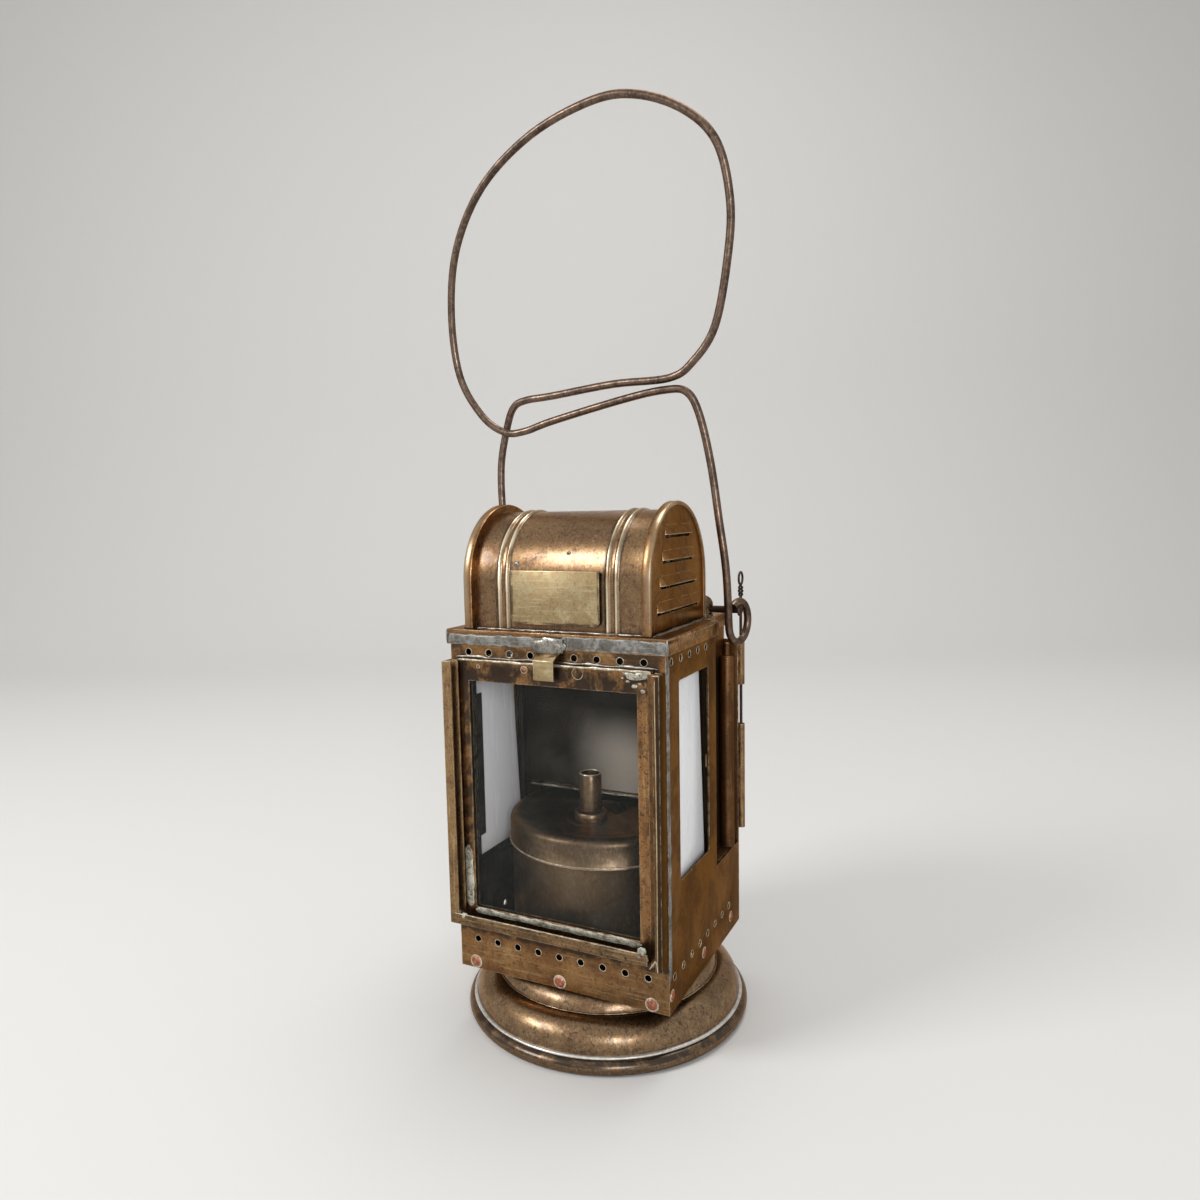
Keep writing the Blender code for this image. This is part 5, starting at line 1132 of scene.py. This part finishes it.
def make_cap(sign, label):
    """Pressed end cap: a face with four louvres, a rolled rim and a groove inside the rim."""
    steps = 64
    bm = bmesh.new()
    profile = [(0.0395, -0.0034), (0.0395, -0.0003), (0.0399, 0.0), (0.0428, 0.0), (0.0433, -0.0003),
               (0.0435, -0.0008), (0.0434, -0.0013), (0.0431, -0.0017), (0.0427, -0.0020)]
    rings = []
    for x, grow in profile:
        rings.append([bm.verts.new((sign * x, y, z)) for y, z in arch(CAP_RADIUS, ROOF_BOTTOM, steps, grow)])
    inner = [(0.0418, -0.0020), (0.0418, -0.0009), (0.0404, -0.0009), (0.0404, -0.0034)]
    for x, grow in inner:
        rings.append([bm.verts.new((sign * x, y, z)) for y, z in arch(CAP_RADIUS, ROOF_BOTTOM, steps, grow)])
    rings.append(rings[0])
    for ring, following in zip(rings, rings[1:]):
        bmesh.ops.bridge_loops(bm, edges=line_edges(bm, ring) + line_edges(bm, following))
    rim = finish("cap_rim_" + label, bm, "cap", nodes=("end_cap_" + label,), smooth=50)

    # Painted highlight on the rolled rim's outer round, on its face side.
    def rim_highlight(place):
        out = math.hypot(place.y - ROOF_Y, max(0.0, place.z - ROOF_SPRING))
        return 0.5 if out > CAP_RADIUS - 0.0014 and abs(place.x) > 0.0425 else 0.0

    paint_wear_and_highlight(rim, rim_highlight)
    loops = [arch(CAP_RADIUS - 0.0019, ROOF_BOTTOM, steps)]
    first = ROOF_SPRING + CAP_RADIUS - 0.0137
    louvres = [(first - k * 0.0102, 0.0147 + k * 0.0032) for k in range(4)]
    for low, half in louvres:
        loops.append(rectangle(ROOF_Y - half + 0.0006, low - 0.0013, ROOF_Y + half - 0.0006, low + 0.0012))
    ends = sorted((sign * 0.0419, sign * 0.0427))
    bm = plate(loops, "X", *ends, edge=0.00012)
    finish("cap_face_" + label, bm, "cap")
    bm = bmesh.new()
    for low, half in louvres:
        add_louvre(bm, sign, low, half)
    hoods = finish("cap_louvres_" + label, bm, "cap", smooth=60)
    lows = [low for low, half in louvres]
    # Painted highlight along each louvre's lower lip.
    paint_wear_and_highlight(hoods, lambda place: 1.3 if min(abs(place.z - low) for low in lows) < 0.0002 else 0.0)


def add_louvre(bm, sign, low, half):
    """A hood pressed out of the face: flush at its top and ends, open along its lower edge."""
    columns, rows = 30, 8
    face, rise, height, thick = 0.0427, 0.0016, 0.0042, 0.0004
    grids = []
    for layer in (0, 1):
        grid = []
        for row in range(rows + 1):
            v = row / rows
            line = []
            for column in range(columns + 1):
                u = column / columns
                side = min(u, 1 - u) * 2 * half
                end = math.sin(min(1, side / 0.0026) * math.pi / 2)
                lift = rise * end * (0.5 + 0.5 * math.cos(v * math.pi))
                x = face + lift - layer * thick
                z = low + v * height
                line.append(bm.verts.new((sign * x, ROOF_Y - half + 2 * half * u, z)))
            grid.append(line)
        grids.append(grid)
    for grid in grids:
        for line, following in zip(grid, grid[1:]):
            bmesh.ops.bridge_loops(bm, edges=line_edges(bm, line) + line_edges(bm, following))
    outer, inner = grids
    rims = [(outer[0], inner[0]), (outer[-1], inner[-1])]
    for end in (0, -1):
        rims.append(([line[end] for line in outer], [line[end] for line in inner]))
    for first, second in rims:
        bmesh.ops.bridge_loops(bm, edges=line_edges(bm, first) + line_edges(bm, second))


def make_plate():
    """Bare plate with rounded lower corners and a raised, softened edge."""
    left, right, low, high = -0.0209, 0.0203, 0.1815, 0.2040
    corner = 0.0025
    outline = [(right, high), (left, high)]
    outline += [(left + corner + a, low + corner + b) for a, b in arc(0, 0, corner, 180, 270, 6)]
    outline += [(right - corner + a, low + corner + b) for a, b in arc(0, 0, corner, 270, 360, 6)]
    back = ROOF_Y - ROOF_RADIUS - GAP
    bm = plate([outline], "Y", back - 0.0010, back, 0.00025)
    finish("bare_plate", bm, "plate", nodes=("name_plate",))


# Tank and burner

def make_tank():
    """Drawn tank with a rolled seam under the shouldered lid."""
    cup = [(0, 0.0272), (0.0410, 0.0272)] + arc(0.0410, 0.0292, 0.0020, -90, 0, 6)
    cup += [(0.0430, 0.0775)] + arc(0.04265, 0.0784, 0.0009, -60, 90, 8)
    cup += [(0.0420, 0.0792), (0.0420, 0.0300), (0, 0.0300)]
    finish("tank", turned(cup, steps=96), "tank", nodes=("oil_tank",), smooth=45)
    ring = turned(oval(0.0437, 0.0794, 0.0008, 0.0004, 10), steps=96)
    finish("lid_seam", ring, "burr", smooth=80)
    top = 0.0912
    lid = [(0.0108, top - 0.0008), (0.0360, top - 0.0008), (0.0374, top - 0.0006), (0.0388, top - 0.0001)]
    lid += arc(0.0402, top - 0.0035, 0.0035, 82, 0, 9)
    lid += [(0.0437, 0.0803), (0.0440, 0.0800), (0.0440, 0.0796), (0.0436, 0.0795), (0.0427, 0.0795),
            (0.0427, top - 0.0035)]
    lid += arc(0.0402, top - 0.0035, 0.0025, 0, 90, 6) + [(0.0108, top - 0.0018)]
    finish("lid", turned(lid, steps=96), "bronze", nodes=("tank_lid",), smooth=45)
    high = top - 0.0008
    bush = [(0.0060, high + 0.0001), (0.0110, high + 0.0001), (0.0113, high - 0.0002),
            (0.0105, high - 0.002), (0.0060, high - 0.002)]
    finish("bush", turned(bush, (0, BURNER_Y), 64), "bronze", nodes=("burner_bush",))


def make_burner():
    """Collar, wick tube with a rolled lip, and the wick."""
    seat = 0.0907
    top = seat + 0.0036
    profile = [(0.0041, top), (0.0053, top), (0.0069, top - 0.0003), (0.0074, top - 0.0010),
               (0.0075, seat + 0.0012), (0.0075, seat), (0.0057, seat), (0.0057, seat - 0.002),
               (0.0041, seat - 0.002)]
    finish("collar", turned(profile, (0, BURNER_Y), 48), "bronze", body="burner", nodes=("burner_collar",))
    low, high = top + GAP, top + GAP + 0.0166
    tube = [(0.0043, high), (0.0048, high + 0.0), (0.0050, high - 0.0003), (0.0050, low), (0.0043, low)]
    finish("burner_tube", turned(tube, (0, BURNER_Y), 48), "bronze", body="burner", nodes=("wick_tube",))
    ring = turned(oval(0.0046, high, 0.0004, 0.0003, 8), (0, BURNER_Y), 48)
    finish("burner_tube_lip", ring, "burr", body="burner")
    profile = [(0, high - 0.0016), (0.0028, high - 0.0014), (0.0036, high - 0.0018), (0.0038, high - 0.0026),
               (0.0038, 0.0340), (0, 0.0340)]
    bm = turned(profile, (0, BURNER_Y), 32)
    finish("cotton", bm, "wick", body="wick", nodes=("wick",))


# Rod, bosses and bail

def make_pivot():
    for sign, label in SIDES:
        low = COVER_TOP + GAP
        profile = [(0, 0.1886)]
        for a in range(10, 91, 10):
            profile.append((0.0044 * math.sin(math.radians(a)), 0.1842 + 0.0044 * math.cos(math.radians(a))))
        profile += [(0.0040, 0.1836), (0.0036, 0.1830), (0.0036, low + 0.0018), (0.0044, low + 0.0009),
                    (0.0044, low), (0, low)]
        finish("boss_" + label, turned(profile, (sign * 0.0405, PIVOT_Y), 40), "bronze",
               nodes=("pivot_boss_" + label,), smooth=40)
    tip = 0.0587
    points = [(0, -tip), (0.0016, -tip), (0.0024, -tip + 0.0004), (0.0027, -tip + 0.0009), (0.0027, -0.0572),
              (0.0016, -0.0572), (0.0016, 0.0572), (0.0027, 0.0572), (0.0027, tip - 0.0009),
              (0.0024, tip - 0.0004), (0.0016, tip), (0, tip)]
    bm = turned(points, steps=28)
    bmesh.ops.rotate(bm, verts=bm.verts, cent=(0, 0, 0), matrix=Matrix.Rotation(math.radians(90), 3, "Y"))
    bmesh.ops.translate(bm, verts=bm.verts, vec=(0, PIVOT_Y, ROD_Z))
    finish("rod", bm, "pin", nodes=("bail_rod",))


BAIL_SHARES = (
    (-0.925, 0.090, -2.50), (-0.980, 0.200, -1.50), (-1.000, 0.310, -0.20), (-0.940, 0.392, 0.60),
    (-0.860, 0.436, 0.60), (-0.740, 0.450, 0.50), (-0.480, 0.455, 0.30), (0.050, 0.468, 0.10),
    (0.500, 0.470, 0.00), (0.690, 0.497, 0.00), (0.870, 0.560, 0.00), (0.985, 0.685, 0.00),
    (1.015, 0.780, 0.00), (0.940, 0.880, 0.00), (0.730, 0.945, 0.00), (0.400, 0.990, 0.00),
    (0.050, 1.000, 0.00), (-0.470, 0.966, 0.00), (-0.930, 0.890, 0.00), (-1.220, 0.780, 0.00),
    (-1.335, 0.650, 0.00), (-1.310, 0.515, -0.20), (-1.120, 0.425, -0.60), (-0.920, 0.386, -0.60),
    (-0.740, 0.385, -0.50), (-0.480, 0.403, -0.30), (0.150, 0.437, -0.10), (0.480, 0.448, 0.00),
    (0.635, 0.440, 0.00), (0.720, 0.395, 0.00), (0.796, 0.300, -0.40), (0.860, 0.190, -1.50),
    (0.915, 0.090, -2.50),
)


def make_bail():
    """One hand-bent wire from eye to eye, with small kinks along it."""
    reach, half, eye, eye_x = 0.221, 0.060, 0.0092, 0.0552
    drop = eye - WIRE - 0.0016 - GAP
    run = [Vector((x * half, depth * 2 * WIRE, up * reach)) for x, up, depth in BAIL_SHARES]

    def eye_points(x):
        points = []
        for step in range(41):
            swing = math.radians(90 + 300 * step / 40)
            lean = math.copysign(0.17 * (1 - math.sin(swing)), x)
            points.append(Vector((x + lean * eye, -eye * math.sin(swing), eye * math.cos(swing) - drop)))
        return points

    foot = Vector((0, -eye, -drop))
    middle = smooth_run([foot - Vector((eye_x, 0, 0))] + run + [foot + Vector((eye_x, 0, 0))], 7)
    points = eye_points(-eye_x)[::-1] + middle[1:-1] + eye_points(eye_x)
    place = Matrix.Translation((0, PIVOT_Y, ROD_Z)) @ Matrix.Rotation(math.radians(7.5), 4, "X")
    wire("bail_wire", [place @ p for p in points], WIRE, "wire", "bail", ("bail",), 5)


# Rivets

def make_rivets():
    """Copper rivets in pale rings along the casing's foot and over the window."""
    bm = bmesh.new()
    rings = bmesh.new()
    for x in (-0.0423, 0.0, 0.0423):
        dome(bm, (x, FRONT, 0.0291), (0, -1, 0), 0.0023, 0.0006)
        dome(rings, (x, FRONT, 0.0291), (0, -1, 0), 0.0030, 0.0002)
    for sign in (-1, 1):
        for y in (-0.0441, -0.0055, 0.0330):
            dome(bm, (sign * RIGHT, y, 0.0334), (sign, 0, 0), 0.0019, 0.0006)
            dome(rings, (sign * RIGHT, y, 0.0334), (sign, 0, 0), 0.0025, 0.0002)
    back = FRONT - GAP - 0.0028
    dome(bm, (-0.0116, back, 0.1642), (0, -1, 0), 0.0010, 0.0003)
    finish("rivets", bm, "copper")
    for k, (x, radius) in enumerate(((0.0132, 0.0024), (-0.0116, 0.0015), (-0.0342, 0.0008))):
        add_burr(rings, (x, back, 0.1635), (0, -1, 0), radius, k * 5.1, steps=24)
    finish("rivet_rings", rings, "burr")
    spots = bmesh.new()
    for k, (x, height, size) in enumerate(((0.0050, 0.2110, 0.0010), (-0.0190, 0.2065, 0.0013))):
        swing = math.asin((height - ROOF_SPRING) / ROOF_RADIUS)
        centre = (x, ROOF_Y - ROOF_RADIUS * math.cos(swing), height)
        blob(spots, centre, (size, size * 0.4, size), 50 + k * 3.0)
    finish("barrel_spots", spots, "solder", smooth=80)


def main():
    make_foot()
    make_neck()
    make_front()
    make_inside()
    make_window()
    make_sill()
    make_catch()
    for sign, label in SIDES:
        make_side(sign, label)
        make_recess(sign, label)
        make_guide(sign, label)
        make_pane(sign, label)
        make_cap(sign, label)
    make_rear()
    make_pin()
    make_cover()
    make_roof()
    make_plate()
    make_tank()
    make_burner()
    make_pivot()
    make_bail()
    make_rivets()


# Studio

def make_studio():
    """Pale floor that curves up behind, and soft lamps."""
    bm = bmesh.new()
    run = [(-1.6, 0.0), (0.9, 0.0)]
    run += [(0.9 + 0.5 * math.sin(math.radians(a)), 0.5 - 0.5 * math.cos(math.radians(a)))
            for a in range(10, 91, 10)]
    run += [(1.4, 2.4)]
    left = [bm.verts.new((-2.6, y, z)) for y, z in run]
    right = [bm.verts.new((2.6, y, z)) for y, z in run]
    bmesh.ops.bridge_loops(bm, edges=line_edges(bm, left) + line_edges(bm, right))
    bmesh.ops.rotate(bm, verts=bm.verts, cent=(0, 0, 0), matrix=Matrix.Rotation(math.radians(27), 3, "Z"))
    mesh = bpy.data.meshes.new("studio_floor")
    bm.to_mesh(mesh)
    bm.free()
    floor = bpy.data.objects.new("studio_floor", mesh)
    bpy.context.collection.objects.link(floor)
    mesh.shade_smooth()
    material, g, shader = new_material("studio floor")
    shader.inputs["Base Color"].default_value = (0.72, 0.71, 0.69, 1)
    shader.inputs["Roughness"].default_value = 0.9
    mesh.materials.append(material)

    world = bpy.data.worlds.new("studio")
    bpy.context.scene.world = world
    world.use_nodes = True
    g = Graph(world.node_tree)
    path = g.add("LightPath")
    seen = g.math("MAXIMUM", path.outputs["Is Camera Ray"], path.outputs["Is Glossy Ray"])
    seen = g.math("MAXIMUM", seen, path.outputs["Is Transmission Ray"])
    background = world.node_tree.nodes["Background"]
    g.join(g.mix(seen, (0.42, 0.42, 0.42), (0.74, 0.74, 0.73)), background.inputs["Color"])

    for name, place, size, power, aim in (
            ("key lamp", (-0.80, -1.00, 0.95), 0.5, 11.5, (0, 0, 0.15)),
            ("front lamp", (0.75, -1.15, 0.55), 0.4, 7.0, (0, 0, 0.12)),
            ("top lamp", (0.1, 0.35, 1.6), 0.8, 9.0, (0, 0.1, 0))):
        lamp = bpy.data.lights.new(name, "AREA")
        lamp.shape = "SQUARE"
        lamp.size = size
        lamp.energy = power
        holder = bpy.data.objects.new(name, lamp)
        bpy.context.collection.objects.link(holder)
        holder.location = place
        holder.rotation_euler = (Vector(aim) - Vector(place)).to_track_quat("-Z", "Y").to_euler()


def make_camera():
    """The photograph's viewpoint: 27 degrees round, a little above the window."""
    yaw, pitch, roll = math.radians(26.98), math.radians(5.80), math.radians(-1.21)
    forward = Vector((-math.sin(yaw) * math.cos(pitch), math.cos(yaw) * math.cos(pitch), -math.sin(pitch)))
    level = Vector((math.cos(yaw), math.sin(yaw), 0))
    upward = level.cross(forward)
    right = level * math.cos(roll) + upward * math.sin(roll)
    up = upward * math.cos(roll) - level * math.sin(roll)
    turn = Matrix((right, up, -forward)).transposed().to_4x4()
    camera = bpy.data.cameras.new("camera")
    camera.sensor_width = 36
    camera.lens = 26.786
    camera.shift_x = 0.0152
    camera.shift_y = -0.00075
    camera.clip_start = 0.01
    holder = bpy.data.objects.new("camera", camera)
    bpy.context.collection.objects.link(holder)
    holder.matrix_world = Matrix.Translation((0.17542, -0.36344, 0.22930)) @ turn
    bpy.context.scene.camera = holder
    bpy.context.scene.view_settings.view_transform = "Standard"


main()
make_studio()
make_camera()
